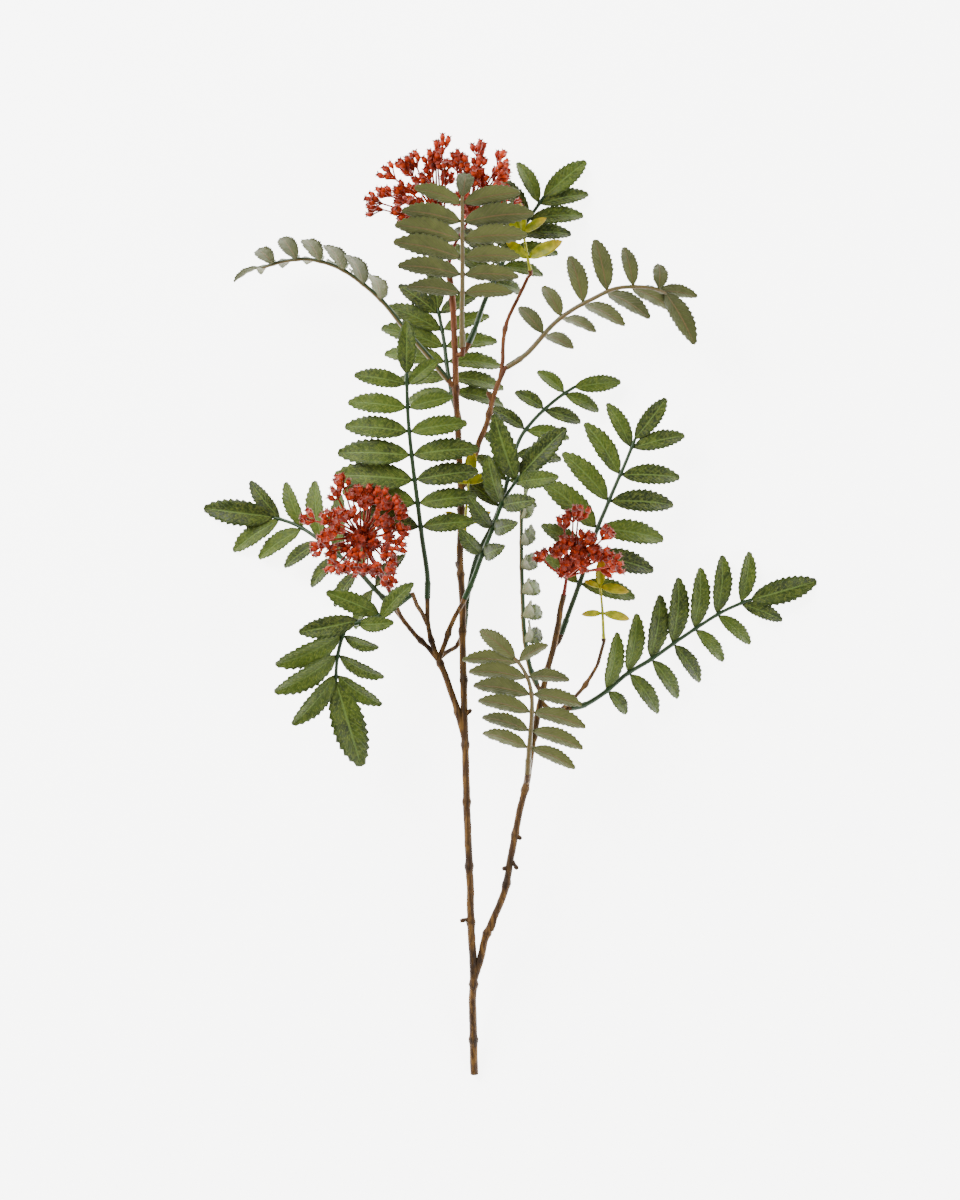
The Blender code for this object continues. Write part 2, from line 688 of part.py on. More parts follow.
def make_frond(frond, material):
    """Make one compound leaf as a sheet: a rachis with leaflets on both sides and at the tip."""
    fine = smooth_route(frond.stalk, 1.0)
    total = len(fine) - 1
    reach = PAIRS_END - frond.bare
    pairs = [round(total * (frond.bare + reach * k / (frond.pairs - 1))) for k in range(frond.pairs)]
    curves = [[Vector(point) for point in side] for side in (frond.left, frond.right)]
    tips = [[smooth_point(curve, k / (frond.pairs - 1)) for curve in curves] for k in range(frond.pairs)]
    planes = blade_planes(frond, fine, pairs, tips)
    sleeve, stout = (YOUNG_SLEEVE_LENGTH, YOUNG_STOUTNESS) if frond.young else (SLEEVE_LENGTH, 1.0)
    places = stalk_places(total, pairs, sleeve)
    sheet = bmesh.new()
    thick = {}
    rows = []
    for place in places:
        along = (fine[min(place + 2, total)] - fine[max(place - 2, 0)]).normalized()
        up = plane_near(place, pairs, planes)
        up = (up - along * up.dot(along)).normalized()
        half = RACHIS_RADIUS + (RACHIS_TIP_RADIUS - RACHIS_RADIUS) * place / total
        half = stout * (SLEEVE_RADIUS if place < sleeve else half)
        middle = None if place in pairs else sheet.verts.new(fine[place])
        if middle:
            thick[middle] = 2.0 * half
        across = up.cross(along) * half
        rows.append((sheet.verts.new(fine[place] + across), middle, sheet.verts.new(fine[place] - across)))
    add_stalk(sheet, rows)
    for pair, plane, ends in zip(pairs, planes, tips):
        before, row, after = (rows[places.index(pair) + step] for step in (-1, 0, 1))
        along = (fine[min(pair + 2, total)] - fine[pair - 2]).normalized()
        leaning = plane + along * BLADE_TILT
        first, second = ends if (row[0].co - row[2].co).dot(ends[0] - ends[1]) > 0.0 else ends[::-1]
        add_blade(sheet, (before[0], row[0], after[0]), first, leaning, frond.young)
        add_blade(sheet, (after[2], row[2], before[2]), second, leaning, frond.young)
    add_blade(sheet, rows[-1], Vector(frond.tip), planes[-1], frond.young)
    return thicken(frond.name, sheet, thick, material)


def bud(stalk, end, radii):
    """Make one berry at the end of its stalk: a round belly, a neck and a flared star."""
    along = (end - stalk[-1]).normalized()
    places = [*stalk, *(end - along * BUD_LENGTH * share for share in BUD_PROFILE_SHARES)]
    profile = (PEDICEL_RADIUS, BUD_RADIUS, BUD_NECK_RADIUS, BUD_STAR_RADIUS)
    return swept_tube(places, [*radii, *profile], BUD_SIDES)


def make_head(head, material):
    """Make one berry head: stalk, rays from the hubs and a tuft of buds at the end of each ray."""
    draw = random.Random(head.seed)
    hubs = [Vector(hub) for hub in head.hubs]
    stalk = [Vector(point) for point in head.stalk]
    pieces = [swept_tube([*stalk, hubs[0]], [HEAD_STALK_RADIUS] * len(stalk) + [FORK_RADIUS], PEG_SIDES)]
    for hub in hubs[1:]:
        pieces.append(swept_tube([stalk[-1], hub], [FORK_RADIUS, FORK_RADIUS], PEG_SIDES))
    turn = Vector((0.0, 0.0, 1.0)).rotation_difference(Vector(head.axis).normalized())
    lowest = math.cos(math.radians(head.spread))
    for k in range(head.tufts):
        height = 1.0 - (1.0 - lowest) * (k + 0.35) / head.tufts
        around = k * GOLDEN_ANGLE + head.seed
        flat = math.sqrt(max(0.0, 1.0 - height * height))
        direction = turn @ Vector((flat * math.cos(around), flat * math.sin(around), height))
        crown = Vector(head.centre) + Vector(a * b for a, b in zip(direction, head.radii))
        hub = min(hubs, key=lambda point: (point - crown).length)
        knee = hub.lerp(crown, KNEE_SHARE)
        outward = (crown - knee).normalized()
        pieces.append(bud([hub, knee], crown, [RAY_RADIUS, 0.8 * RAY_RADIUS]))
        for n in range(BUDS_PER_TUFT - 1):
            angle = 2.0 * math.pi * (n + draw.random() * 0.4) / (BUDS_PER_TUFT - 1)
            swing = Matrix.Rotation(angle, 3, outward) @ outward.orthogonal().normalized()
            end = crown + (swing - outward * TUFT_SAG) * TUFT_SPREAD
            pieces.append(bud([knee - outward], end, [PEDICEL_RADIUS]))
    return fuse(head.name, pieces, material)


def main():
    """Build the sprig."""
    clear_scene()
    bark = plastic("bark_wrapped_stem", (0.16, 0.08, 0.03), 0.8)
    leaf_green = plastic("leaf_green", (0.06, 0.13, 0.03), 0.55)
    berry_red = plastic("berry_red", (0.55, 0.09, 0.03), 0.45)
    sprout_green = plastic("sprout_green", (0.42, 0.42, 0.03), 0.5)
    make_stem(bark)
    for frond in FRONDS:
        make_frond(frond, leaf_green)
    for head in HEADS:
        make_head(head, berry_red)
    for sprout in SPROUTS:
        make_frond(sprout, sprout_green)


main()
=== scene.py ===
"""Dresses the rowan berry sprig: printed cloth leaves on moulded stalks, berry heads, sprouts and a stem.

The tables are in millimetres and repeat the solids' own, so every fine piece lies where its solid does.
Each piece is built in millimetres and brought to metres at its place in one step.
"""

import logging
import math
import random
from collections.abc import Callable
from dataclasses import dataclass
from enum import Enum
from functools import partial

import bmesh
import bpy
from mathutils import Matrix, Vector, noise


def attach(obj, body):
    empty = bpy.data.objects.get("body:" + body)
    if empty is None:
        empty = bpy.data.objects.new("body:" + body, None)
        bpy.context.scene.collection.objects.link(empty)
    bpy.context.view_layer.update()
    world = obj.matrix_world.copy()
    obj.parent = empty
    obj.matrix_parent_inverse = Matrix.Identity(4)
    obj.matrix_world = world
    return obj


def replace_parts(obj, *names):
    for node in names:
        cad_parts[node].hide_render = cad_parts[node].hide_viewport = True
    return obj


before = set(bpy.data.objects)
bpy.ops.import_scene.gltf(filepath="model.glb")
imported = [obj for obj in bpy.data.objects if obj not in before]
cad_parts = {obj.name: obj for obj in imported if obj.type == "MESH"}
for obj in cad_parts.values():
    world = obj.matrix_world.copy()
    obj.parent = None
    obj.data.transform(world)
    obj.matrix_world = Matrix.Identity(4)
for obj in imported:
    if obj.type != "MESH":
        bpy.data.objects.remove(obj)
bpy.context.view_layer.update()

LOG = logging.getLogger("rowan_sprig")

MM = 0.001
# Noise scales count grains to the metre, so grains of one millimetre are this many.
PER_MM = 1.0 / MM
SMOOTH = {"interpolation_type": "SMOOTHSTEP"}
# Where most of a noise's values lie.
GRAIN_RANGE = (0.3, 0.7)
PHOTO_HEIGHT = 1200
MM_PER_PHOTO_PIXEL = 0.8
# Moves the tables' middle to the middle of the sprig's box, as in the solids.
CENTRE_SHIFT = Vector((-0.5, 2.3, 0.0))
FIT_GAP = 0.3

LEAFLET_WIDTH_SHARE = 0.36
# A leaflet's outline: how fast it widens from the foot and narrows to the tip, and its full width's factor.
OUTLINE_FOOT = 0.6
OUTLINE_TIP = 0.7
OUTLINE_FULLNESS = 2.46
LEAFLET_LEAST_WIDTH = 13.0
LEAFLET_TEETH = 11
BLADE_COLUMNS = 6
BLADE_THICKNESS = 0.45
BLADE_FOLD = 0.28
BLADE_ARCH = 0.08
BLADE_TILT = 0.35
BLADE_RIPPLE = 0.45
PLANE_STEADINESS = 0.35
FOOT_HALF_WIDTH = 0.8
TOOTH_OUT = 0.07
NOTCH_IN = 0.08
TOOTH_LEAN = 0.02

SLEEVE_RADIUS = 2.5
SLEEVE_LENGTH = 13.0
SLEEVE_LIP = 0.22
LIP_LENGTH = 1.5
RACHIS_RADIUS = 2.2
RACHIS_TIP_RADIUS = 1.4
PAIRS_END = 0.95
PAIR_SWELL = 0.35
PAIR_SWELL_REACH = 2.0
YOUNG_SLEEVE_LENGTH = 4.0
YOUNG_STOUTNESS = 0.6
RACHIS_SIDES = 10
RACHIS_STEP = 2

STEM_SIDES = 14
STEM_STEP = 2
KNOT_HEIGHT = 0.9
KNOT_SPREAD = 2.6
BARK_RELIEF = 0.28
PEG_LENGTH = 6.0
PEG_RADIUS = 2.4
STUB_RADIUS = 2.0

GOLDEN_ANGLE = math.pi * (3.0 - math.sqrt(5.0))


UPPER_SIDE_TO_VIEWER = (0.0, 0.0, 1.0)
UNDERSIDE_TO_VIEWER = (0.0, 0.0, -1.0)


@dataclass(frozen=True)
class Frond:
    """One compound leaf or sprout: its stalk, and the curves on which its leaflets' tips lie."""

    name: str
    stalk: tuple
    bare: float
    pairs: int
    left: tuple
    right: tuple
    tip: tuple
    face: tuple = UPPER_SIDE_TO_VIEWER
    young: bool = False


@dataclass(frozen=True)
class Head:
    """One berry head: a stalk to the hubs, and a crown of tufts of berries on a part of an ellipsoid."""

    name: str
    stalk: tuple
    hubs: tuple
    centre: tuple
    radii: tuple
    axis: tuple
    spread: float
    tufts: int
    seed: int


@dataclass(frozen=True)
class Twig:
    """One length of wood: its route, its end radii, where its knots are and the piece it carries."""

    route: tuple
    radii: tuple
    knots: tuple = ()
    carries: str = ""


FRONDS = (
    Frond(
        "leaf_top_front",
        ((-38, 204, 55), (-38.5, 226, 61), (-38, 250, 69), (-38, 282, 80), (-38, 310, 88), (-38, 322, 91)),
        0.36, 6,
        ((-82, 251, 70), (-91, 272, 77), (-93, 294, 84), (-88, 306, 90), (-76, 328, 95)),
        ((2, 246, 70), (8, 262, 76), (9, 282, 82), (20, 303, 88), (8, 324, 94)),
        (-35, 336, 126), UNDERSIDE_TO_VIEWER,
    ),
    Frond(
        "leaf_left_arching",
        ((-50, 178, 50), (-64, 195, 54), (-84, 218, 59), (-104, 242, 63), (-132, 264, 65), (-158, 273, 63),
         (-180, 272, 60), (-198, 267, 57)),
        0.44, 6,
        ((-110, 258, 104), (-134, 277, 106), (-154, 283, 104), (-176, 289, 98), (-200, 279, 90)),
        ((-108, 250, 26), (-132, 268, 24), (-154, 272, 22), (-178, 270, 20), (-200, 264, 22)),
        (-221, 256, 48), (0.1, 1.0, -0.1),
    ),
    Frond(
        "leaf_top_back",
        ((-42, 152, 38), (-46, 166, 32), (-50, 186, 25), (-53, 210, 19), (-56, 227, 16), (-58, 237, 15)),
        0.20, 6,
        ((-84, 160, 18), (-95, 182, 13), (-104, 212, 9), (-101, 234, 8), (-90, 256, 9)),
        ((-5, 158, 16), (-5, 176, 12), (-8, 200, 10), (-14, 226, 9), (-26, 248, 10)),
        (-62, 274, 10),
    ),
    Frond(
        "leaf_back_right",
        ((-33, 207, 47), (-27, 222, 44), (-20, 242, 37), (-10, 264, 29), (3, 290, 21), (16, 310, 15),
         (28, 328, 10)),
        0.40, 6,
        ((-50, 288, 12), (-42, 306, 8), (-30, 324, 5), (-14, 340, 3), (6, 356, 1)),
        ((10, 249, 16), (31, 268, 12), (44, 290, 8), (58, 308, 4), (64, 330, 2)),
        (62, 357, 0),
    ),
    Frond(
        "leaf_right_arching",
        ((-2, 188, 53), (14, 199, 57), (34, 221, 63), (50, 233, 67), (65, 241, 69), (82, 249, 70),
         (98, 251, 69), (114, 250, 66), (125, 246, 62)),
        0.26, 6,
        ((7, 234, 84), (26, 250, 90), (47, 274, 92), (67, 287, 92), (90, 281, 90), (118, 268, 84)),
        ((51, 203, 38), (69, 216, 42), (92, 221, 44), (112, 227, 46), (134, 232, 50), (150, 244, 54)),
        (148, 206, 48), (0.0, 0.45, -0.9),
    ),
    Frond(
        "leaf_front_left",
        ((-66, 3, 63), (-66, 22, 66), (-70, 50, 70), (-74, 82, 75), (-78, 114, 80), (-81, 146, 84),
         (-82, 174, 87), (-82, 182, 88)),
        0.32, 7,
        ((-122, 70, 64), (-136, 92, 64), (-141, 106, 66), (-133, 132, 72), (-130, 154, 78), (-124, 180, 84)),
        ((-28, 64, 70), (-26, 84, 70), (-25, 104, 72), (-25, 122, 74), (-34, 142, 77), (-45, 163, 81),
         (-57, 192, 86)),
        (-82, 223, 92),
    ),
    Frond(
        "leaf_left_low",
        ((-94, -4, 47), (-108, 10, 42), (-124, 27, 35), (-141, 40, 28), (-156, 52, 22), (-172, 62, 15),
         (-192, 69, 9)),
        0.17, 6,
        ((-84, 38, 42), (-108, 66, 34), (-136, 87, 25), (-157, 98, 18), (-181, 97, 10), (-210, 98, 4)),
        ((-124, -22, 34), (-141, -4, 28), (-160, 12, 20), (-182, 28, 12), (-203, 35, 5), (-224, 41, 0)),
        (-248, 76, 0),
    ),
    Frond(
        "leaf_left_drooping",
        ((-80, 5, 76), (-92, -4, 84), (-106, -12, 88), (-120, -16, 87), (-130, -21, 83), (-135, -33, 77),
         (-138, -48, 70), (-139, -64, 62)),
        0.28, 5,
        ((-146, 8, 94), (-168, -24, 84), (-187, -50, 74), (-188, -72, 68), (-174, -98, 62)),
        ((-76, 15, 105), (-92, -16, 98), (-104, -36, 84), (-100, -60, 70), (-102, -82, 58)),
        (-119, -132, 40),
    ),
    Frond(
        "leaf_centre_back",
        ((-37, -22, 38), (-33, 10, 38), (-26, 38, 38), (-14, 62, 38), (-5, 86, 37), (1, 110, 35),
         (8, 131, 32), (18, 145, 28), (30, 157, 24), (41, 166, 20), (53, 174, 16)),
        0.46, 6,
        ((-38, 98, 32), (-28, 118, 31), (-22, 136, 30), (-17, 156, 28), (4, 169, 23), (22, 186, 16)),
        ((22, 78, 26), (36, 100, 22), (45, 124, 18), (54, 142, 14), (72, 154, 9)),
        (90, 178, 7),
    ),
    Frond(
        "leaf_centre_front",
        ((-36, 3, 67), (-29, 19, 73), (-22, 38, 82), (-14, 58, 92), (-8, 74, 100), (-2, 86, 107),
         (8, 100, 115)),
        0.34, 4,
        ((-40, 58, 100), (-33, 84, 112), (-18, 116, 122), (-13, 148, 126)),
        ((-4, 44, 112), (6, 62, 124), (20, 80, 134), (38, 98, 138)),
        (44, 137, 124), (-0.4, -0.3, 0.85),
    ),
    Frond(
        "leaf_centre_upright",
        ((21, -65, 55), (17, -56, 60), (14, -44, 63), (11, -22, 66), (10, 2, 67), (9, 34, 67), (9, 66, 66),
         (9, 74, 66)),
        0.26, 6,
        ((14, -16, 98), (17, 2, 99), (14, 24, 97), (12, 48, 92), (10, 84, 84)),
        ((25, -24, 44), (25, -2, 43), (22, 24, 43), (19, 54, 43), (16, 84, 45)),
        (8, 104, 68), (0.9, 0.0, 0.35),
    ),
    Frond(
        "leaf_low_front",
        ((14, -137, 57), (15, -119, 66), (17, -92, 77), (17, -75, 83), (14, -61, 88), (8, -50, 94),
         (3, -44, 98)),
        0.22, 6,
        ((-22, -104, 80), (-23, -88, 84), (-28, -72, 90), (-32, -58, 94), (-38, -46, 96)),
        ((52, -133, 64), (58, -117, 70), (60, -100, 76), (57, -82, 82), (47, -62, 90), (30, -34, 96)),
        (-24, -22, 116), UNDERSIDE_TO_VIEWER,
    ),
    Frond(
        "leaf_right_low",
        ((49, -85, 44), (61, -82, 40), (77, -72, 34), (94, -58, 28), (114, -46, 23), (140, -28, 17),
         (168, -10, 11), (187, -1, 8), (196, 2, 6)),
        0.20, 7,
        ((86, -24, 34), (102, -9, 28), (121, 6, 22), (136, 20, 16), (154, 28, 11), (172, 38, 6),
         (194, 41, 2)),
        ((94, -90, 22), (120, -90, 12), (136, -78, 7), (154, -65, 3), (173, -48, 1), (195, -34, 0),
         (221, -15, 0)),
        (249, 17, 0),
    ),
    Frond(
        "leaf_right_upper",
        ((41, -26, 44), (46, -12, 42), (58, 21, 38), (70, 58, 36), (77, 75, 35), (85, 94, 34), (93, 112, 33),
         (101, 132, 32)),
        0.26, 6,
        ((24, 38, 31), (25, 62, 31), (25, 98, 32), (42, 120, 33), (60, 144, 32), (78, 160, 30)),
        ((101, 3, 26), (116, 25, 23), (124, 50, 21), (132, 78, 21), (137, 100, 22), (141, 134, 24)),
        (126, 164, 24),
    ),
)

HEADS = (
    Head(
        "berry_head_top",
        ((-49, 270, 48), (-49, 278, 48)),
        ((-55, 304, 48), (-33, 306, 48)),
        (-46, 306, 49), (78, 75, 21), (0.0, 1.0, 0.0), 88.0, 8, 3,
    ),
    Head(
        "berry_head_left",
        ((-92, -1, 58), (-98, 12, 66), (-108, 30, 75), (-115, 44, 81)),
        ((-117, 50, 84),),
        (-118, 54, 72), (58, 62, 42), (0.0, 0.0, 1.0), 64.0, 8, 5,
    ),
    Head(
        "berry_head_right",
        ((43, 6, 55), (44, 12, 58)),
        ((45, 20, 62),),
        (56, 22, 73), (40, 60, 18), (0.05, 1.0, 0.1), 84.0, 6, 8,
    ),
)

SPROUTS = (
    Frond(
        "sprout_centre",
        ((-36, 52, 54), (-35, 74, 57), (-33, 97, 59)),
        0.24, 2,
        ((-52, 72, 60), (-52, 101, 60)),
        ((-15, 72, 57), (-13, 103, 59)),
        (-30, 123, 60), young=True,
    ),
    Frond(
        "sprout_right",
        ((75, -29, 47), (74, -8, 50), (72, 14, 52)),
        0.46, 2,
        ((57, -10, 50), (59, 17, 53)),
        ((96, -14, 48), (95, 8, 52)),
        (73, 36, 54), young=True,
    ),
    Frond(
        "sprout_top",
        ((16, 265, 58), (13, 280, 62), (10, 297, 65)),
        0.30, 2,
        ((-4, 290, 62), (-7, 309, 65)),
        ((42, 288, 63), (29, 306, 66)),
        (8, 318, 67), young=True,
    ),
)

TWIGS = (
    Twig(
        ((-28.5, -382, 3.2), (-29.5, -350, 12), (-30, -320, 22), (-29, -302, 28), (-31, -262, 36),
         (-32, -222, 41), (-34, -182, 44), (-35, -142, 46), (-36, -110, 47), (-37, -70, 48), (-38, -30, 48),
         (-38, 2, 48), (-40, 34, 48), (-39, 82, 48), (-41, 122, 48), (-43, 162, 48), (-44, 202, 48),
         (-46, 242, 48), (-48.7, 262, 48)),
        (3.3, 2.5),
        (0.045, 0.12, 0.20, 0.27, 0.35, 0.42, 0.50, 0.56, 0.63, 0.71, 0.78, 0.86), "berry_head_top",
    ),
    Twig(
        ((-29, -304, 27.5), (-24, -288, 31), (-19, -268, 35), (-8, -242, 39), (-3, -226, 42), (2, -198, 45),
         (8, -166, 47), (13, -146, 48), (17, -120, 49), (22, -92, 50), (27, -68, 50), (31, -50, 51),
         (37, -26, 52), (40.6, -4, 53.2)),
        (3.1, 2.4),
        (0.13, 0.27, 0.40, 0.52, 0.66, 0.83), "berry_head_right",
    ),
    Twig(
        ((-35.5, -112, 47), (-43, -84, 48), (-50, -64, 49), (-57, -46, 50)),
        (2.9, 2.6), (0.35, 0.95),
    ),
    Twig(
        ((-57, -47, 50), (-66, -36, 50), (-76, -26, 50), (-85, -15, 49)),
        (2.1, 1.9), (0.5,), "leaf_left_low",
    ),
    Twig(((-84, -17, 49), (-88, -10, 52)), (1.8, 1.8), (), "berry_head_left"),
    Twig(((-57, -47, 50), (-63, -30, 53), (-66, -14, 58)), (2.2, 2.0), (0.5,), "leaf_front_left"),
    Twig(((-66, -18, 56), (-70, -9, 63), (-74, -3, 69)), (1.9, 1.8), (), "leaf_left_drooping"),
    Twig(
        ((-57, -46, 50), (-51, -30, 54), (-46, -16, 58), (-41, -6, 62)),
        (2.2, 1.9), (0.5,), "leaf_centre_front",
    ),
    Twig(((-57, -45, 50), (-50, -40, 44), (-43, -36, 38)), (2.1, 1.8), (), "leaf_centre_back"),
    Twig(
        ((-38, 92, 48), (-33, 106, 49), (-27, 122, 50), (-19, 142, 51), (-14, 162, 52), (-9, 176, 52)),
        (2.5, 2.1), (0.35, 0.7), "leaf_right_arching",
    ),
    Twig(
        ((-9, 174, 52), (-6, 190, 52), (-5, 212, 53), (0, 230, 54), (8, 246, 55), (14, 259, 56)),
        (1.8, 1.4), (0.5,), "sprout_top",
    ),
    Twig(((25, -80, 50), (32, -86, 48), (40, -87.5, 46)), (2.2, 2.0), (), "leaf_right_low"),
    Twig(
        ((40, -87, 46), (52, -76, 47), (61, -65, 47), (69, -52, 47), (73, -40, 47)),
        (1.7, 1.4), (0.5,), "sprout_right",
    ),
)

# Cut stubs of side twigs, each from the middle of the stem to its cut end.
STUBS = (
    ((-31.5, -254, 37.5), (-40, -256, 38)),
    ((-9, -243, 39), (-14.5, -264, 38)),
    ((0, -212, 43), (-6, -214, 45)),
    ((2, -208, 44), (6, -214, 46)),
    ((5, -186, 46), (9, -190, 47)),
    ((-37, -92, 47.5), (-31, -86, 49)),
    ((-39, 22, 48), (-43, 32, 44)),
    ((-14, 160, 52), (-18, 168, 53)),
)

# The pieces that plug on a peg at the side of the stem, and the point of the wood that each peg grows from.
SIDE_PEGS = {
    "leaf_top_front": (-43.5, 198, 48),
    "leaf_left_arching": (-43.5, 172, 48),
    "leaf_top_back": (-42.5, 144, 48),
    "leaf_back_right": (-44, 196, 48),
    "leaf_centre_upright": (28, -68, 50),
    "leaf_low_front": (13, -146, 48),
    "leaf_right_upper": (33.5, -38, 51.5),
    "sprout_centre": (-39.5, 46, 48),
}
# How many tufts each berry head has, and how many berries each tuft.
HEAD_FULLNESS = ((54, 6), (44, 6), (24, 7))
STALKS = {item.name: item.stalk for item in (*FRONDS, *HEADS, *SPROUTS)}


class LeafSide(Enum):
    """The two sides of a leaflet, as the numbers of their material slots."""

    UPPER = 0
    UNDER = 1


def linear(colour: str) -> tuple[float, float, float, float]:
    """Turn an sRGB hex colour to linear light.

    Args:
        colour: The colour as #rrggbb.

    Returns:
        Red, green, blue and an alpha of 1.
    """
    parts = [int(colour[k : k + 2], 16) / 255.0 for k in (1, 3, 5)]
    light = [part / 12.92 if part <= 0.04045 else ((part + 0.055) / 1.055) ** 2.4 for part in parts]
    return (*light, 1.0)


def add_node(
    tree: bpy.types.NodeTree, kind: str, inputs: dict | tuple = (), output: int | str = 0, **settings: object
) -> bpy.types.NodeSocket:
    """Add one shader node with its settings, values and links.

    Args:
        tree: The node tree that it joins.
        kind: The node's type, after ShaderNode.
        inputs: Values, or the outputs that feed them, in the sockets' order or by socket name or number.
        output: The name or number of the output that is wanted.
        **settings: The node's own properties.

    Returns:
        The wanted output.
    """
    node = tree.nodes.new("ShaderNode" + kind)
    for name, value in settings.items():
        setattr(node, name, value)
    for key, value in inputs.items() if isinstance(inputs, dict) else enumerate(inputs):
        if isinstance(value, bpy.types.NodeSocket):
            tree.links.new(value, node.inputs[key])
        else:
            node.inputs[key].default_value = value
    return node.outputs[output]


def new_material(name: str, *grains: tuple) -> tuple[bpy.types.Material, Callable, list]:
    """Make a material with an empty finish, and its noises on the object coordinates.

    Args:
        name: The real material's name.
        *grains: For each noise its grain in mm, its detail and its scale along Y, under 1 to draw it out.

    Returns:
        The material, add_node on its own tree, and the noises.
    """
    material = bpy.data.materials.new(name)
    material.use_nodes = True
    add = partial(add_node, material.node_tree)
    place = add("TexCoord", output="Object")
    noises = []
    for size, detail, shrink in grains:
        spot = add("Mapping", {"Vector": place, "Scale": (1.0, shrink, 1.0)})
        noises.append(add("TexNoise", {"Vector": spot, "Scale": PER_MM / size, "Detail": detail}))
    return material, add, noises


def set_surface(
    material: bpy.types.Material, add: Callable, ground: str, layers: tuple, grain: bpy.types.NodeSocket,
    roughness: tuple, height: bpy.types.NodeSocket, relief_mm: float, uniform: dict,
) -> None:
    """Lay a material's colours over one another, and set its gloss and its relief.

    Args:
        material: The material.
        add: add_node on its tree.
        ground: The lowest colour.
        layers: For each colour above it, the share that shows and the colour.
        grain: Noise that varies the roughness.
        roughness: The least and the greatest roughness.
        height: The relief, from 0 to 1.
        relief_mm: The relief's depth.
        uniform: Values for the shader's own sockets.
    """
    tree = material.node_tree
    sockets = tree.nodes["Principled BSDF"].inputs
    colour = linear(ground)
    for share, tone in layers:
        colour = add("Mix", {0: share, 6: colour, 7: linear(tone)}, 2, data_type="RGBA")
    tree.links.new(colour, sockets["Base Color"])
    tree.links.new(add("MapRange", (grain, *GRAIN_RANGE, *roughness), **SMOOTH), sockets["Roughness"])
    bump = {"Height": height, "Distance": relief_mm * MM, "Strength": 1.0}
    tree.links.new(add("Bump", bump), sockets["Normal"])
    for name, value in uniform.items():
        sockets[name].default_value = value


@dataclass(frozen=True)
class LeafCloth:
    """Polyester leaf cloth, printed and heat-pressed.

    The eye sees a dark green ground with fine slanting yellow-green streaks, a pale rib, pressed veins 4.5 mm
    apart and a soft satin sheen. Its weave of 0.3 mm is drawn at 0.5 mm, so that it shows.
    """

    name: str
    ground: str
    lit: str
    streak: str
    rib: str
    margin: str
    streak_share: float
    roughness: float
    sheen: float
    veins: float = 11.0
    slant: float = 2.4

    def material(self) -> bpy.types.Material:
        """Build the material from the blade's own UV map: U along the rib, V across it."""
        grains = (9.0, 3.0, 1.0), (2.2, 4.0, 1.0), (0.5, 1.0, 1.0)
        material, add, (cloud, fleck, weave) = new_material(self.name, *grains)
        along = add("SeparateXYZ", (add("UVMap", uv_map="blade"),))
        # From 0 at the rib to 1 at the edge.
        out = add("Math", (along.node.outputs[1], 2.0, -1.0), operation="MULTIPLY_ADD")
        out = add("Math", (out,), operation="ABSOLUTE")
        tint = add("Attribute", output="Fac", attribute_name="tint")
        slant = add("Math", (out, -self.slant), operation="MULTIPLY")
        slant = add("Math", (along, self.veins, slant), operation="MULTIPLY_ADD")
        vein = add("Math", (cloud, 0.8, slant), operation="MULTIPLY_ADD")
        vein = add("Math", (vein, 0.5), operation="PINGPONG")
        vein_line = add("MapRange", (vein, 0.02, 0.14, 1.0, 0.0), **SMOOTH)
        fine = add("Math", (fleck, 2.6), operation="MULTIPLY")
        fine = add("Math", (slant, 3.7, fine), operation="MULTIPLY_ADD")
        fine = add("Math", (fine, 0.5), operation="PINGPONG")
        fine = add("MapRange", (fine, 0.24, 0.46, 0.0, self.streak_share), **SMOOTH)
        streaks = add("Math", (fine, add("MapRange", (fleck, 0.42, 0.62), **SMOOTH)), operation="MULTIPLY")
        rib_line = add("MapRange", (out, 0.03, 0.10, 1.0, 0.0), **SMOOTH)
        tone = add("Math", (tint, 0.45), operation="MULTIPLY")
        tone = add("Math", (cloud, 0.7, tone), operation="MULTIPLY_ADD")
        layers = (
            (add("MapRange", (tone, 0.3, 0.8), **SMOOTH), self.lit),
            (streaks, self.streak),
            (add("MapRange", (out, 0.62, 1.0, 0.0, 0.45), **SMOOTH), self.margin),
            (add("Math", (vein_line, 0.22), operation="MULTIPLY"), self.rib),
            (add("Math", (rib_line, 0.75), operation="MULTIPLY"), self.rib),
        )
        pressed = add("Math", (vein_line, rib_line), operation="ADD")
        height = add("Math", (weave, 0.25), operation="MULTIPLY")
        height = add("Math", (pressed, -0.6, height), operation="MULTIPLY_ADD")
        uniform = {
            "IOR": 1.46, "Specular IOR Level": 0.22, "Sheen Weight": self.sheen, "Sheen Roughness": 0.5,
        }
        gloss = (self.roughness - 0.07, self.roughness + 0.08)
        set_surface(material, add, self.ground, layers, fleck, gloss, height, 0.35, uniform)
        return material


@dataclass(frozen=True)
class StalkPlastic:
    """Moulded polyethylene stalk: green on the leaf's upper side and brown beneath, with a waxy half-gloss.

    Its flecks are 3 mm across.
    """

    name: str
    upper: str
    under: str
    fleck: str
    roughness: float

    def material(self) -> bpy.types.Material:
        """Build the material, turned from one colour to the other by the piece's own attribute."""
        material, add, (grain,) = new_material(self.name, (3.0, 4.0, 1.0))
        upper = add("Attribute", output="Fac", attribute_name="upper")
        layers = (
            (add("MapRange", (upper, -0.5, 0.3), **SMOOTH), self.upper),
            (add("MapRange", (grain, 0.45, 0.7, 0.0, 0.5), **SMOOTH), self.fleck),
        )
        gloss = (self.roughness - 0.06, self.roughness + 0.08)
        uniform = {"IOR": 1.5, "Specular IOR Level": 0.3}
        set_surface(material, add, self.under, layers, grain, gloss, grain, 0.25, uniform)
        return material


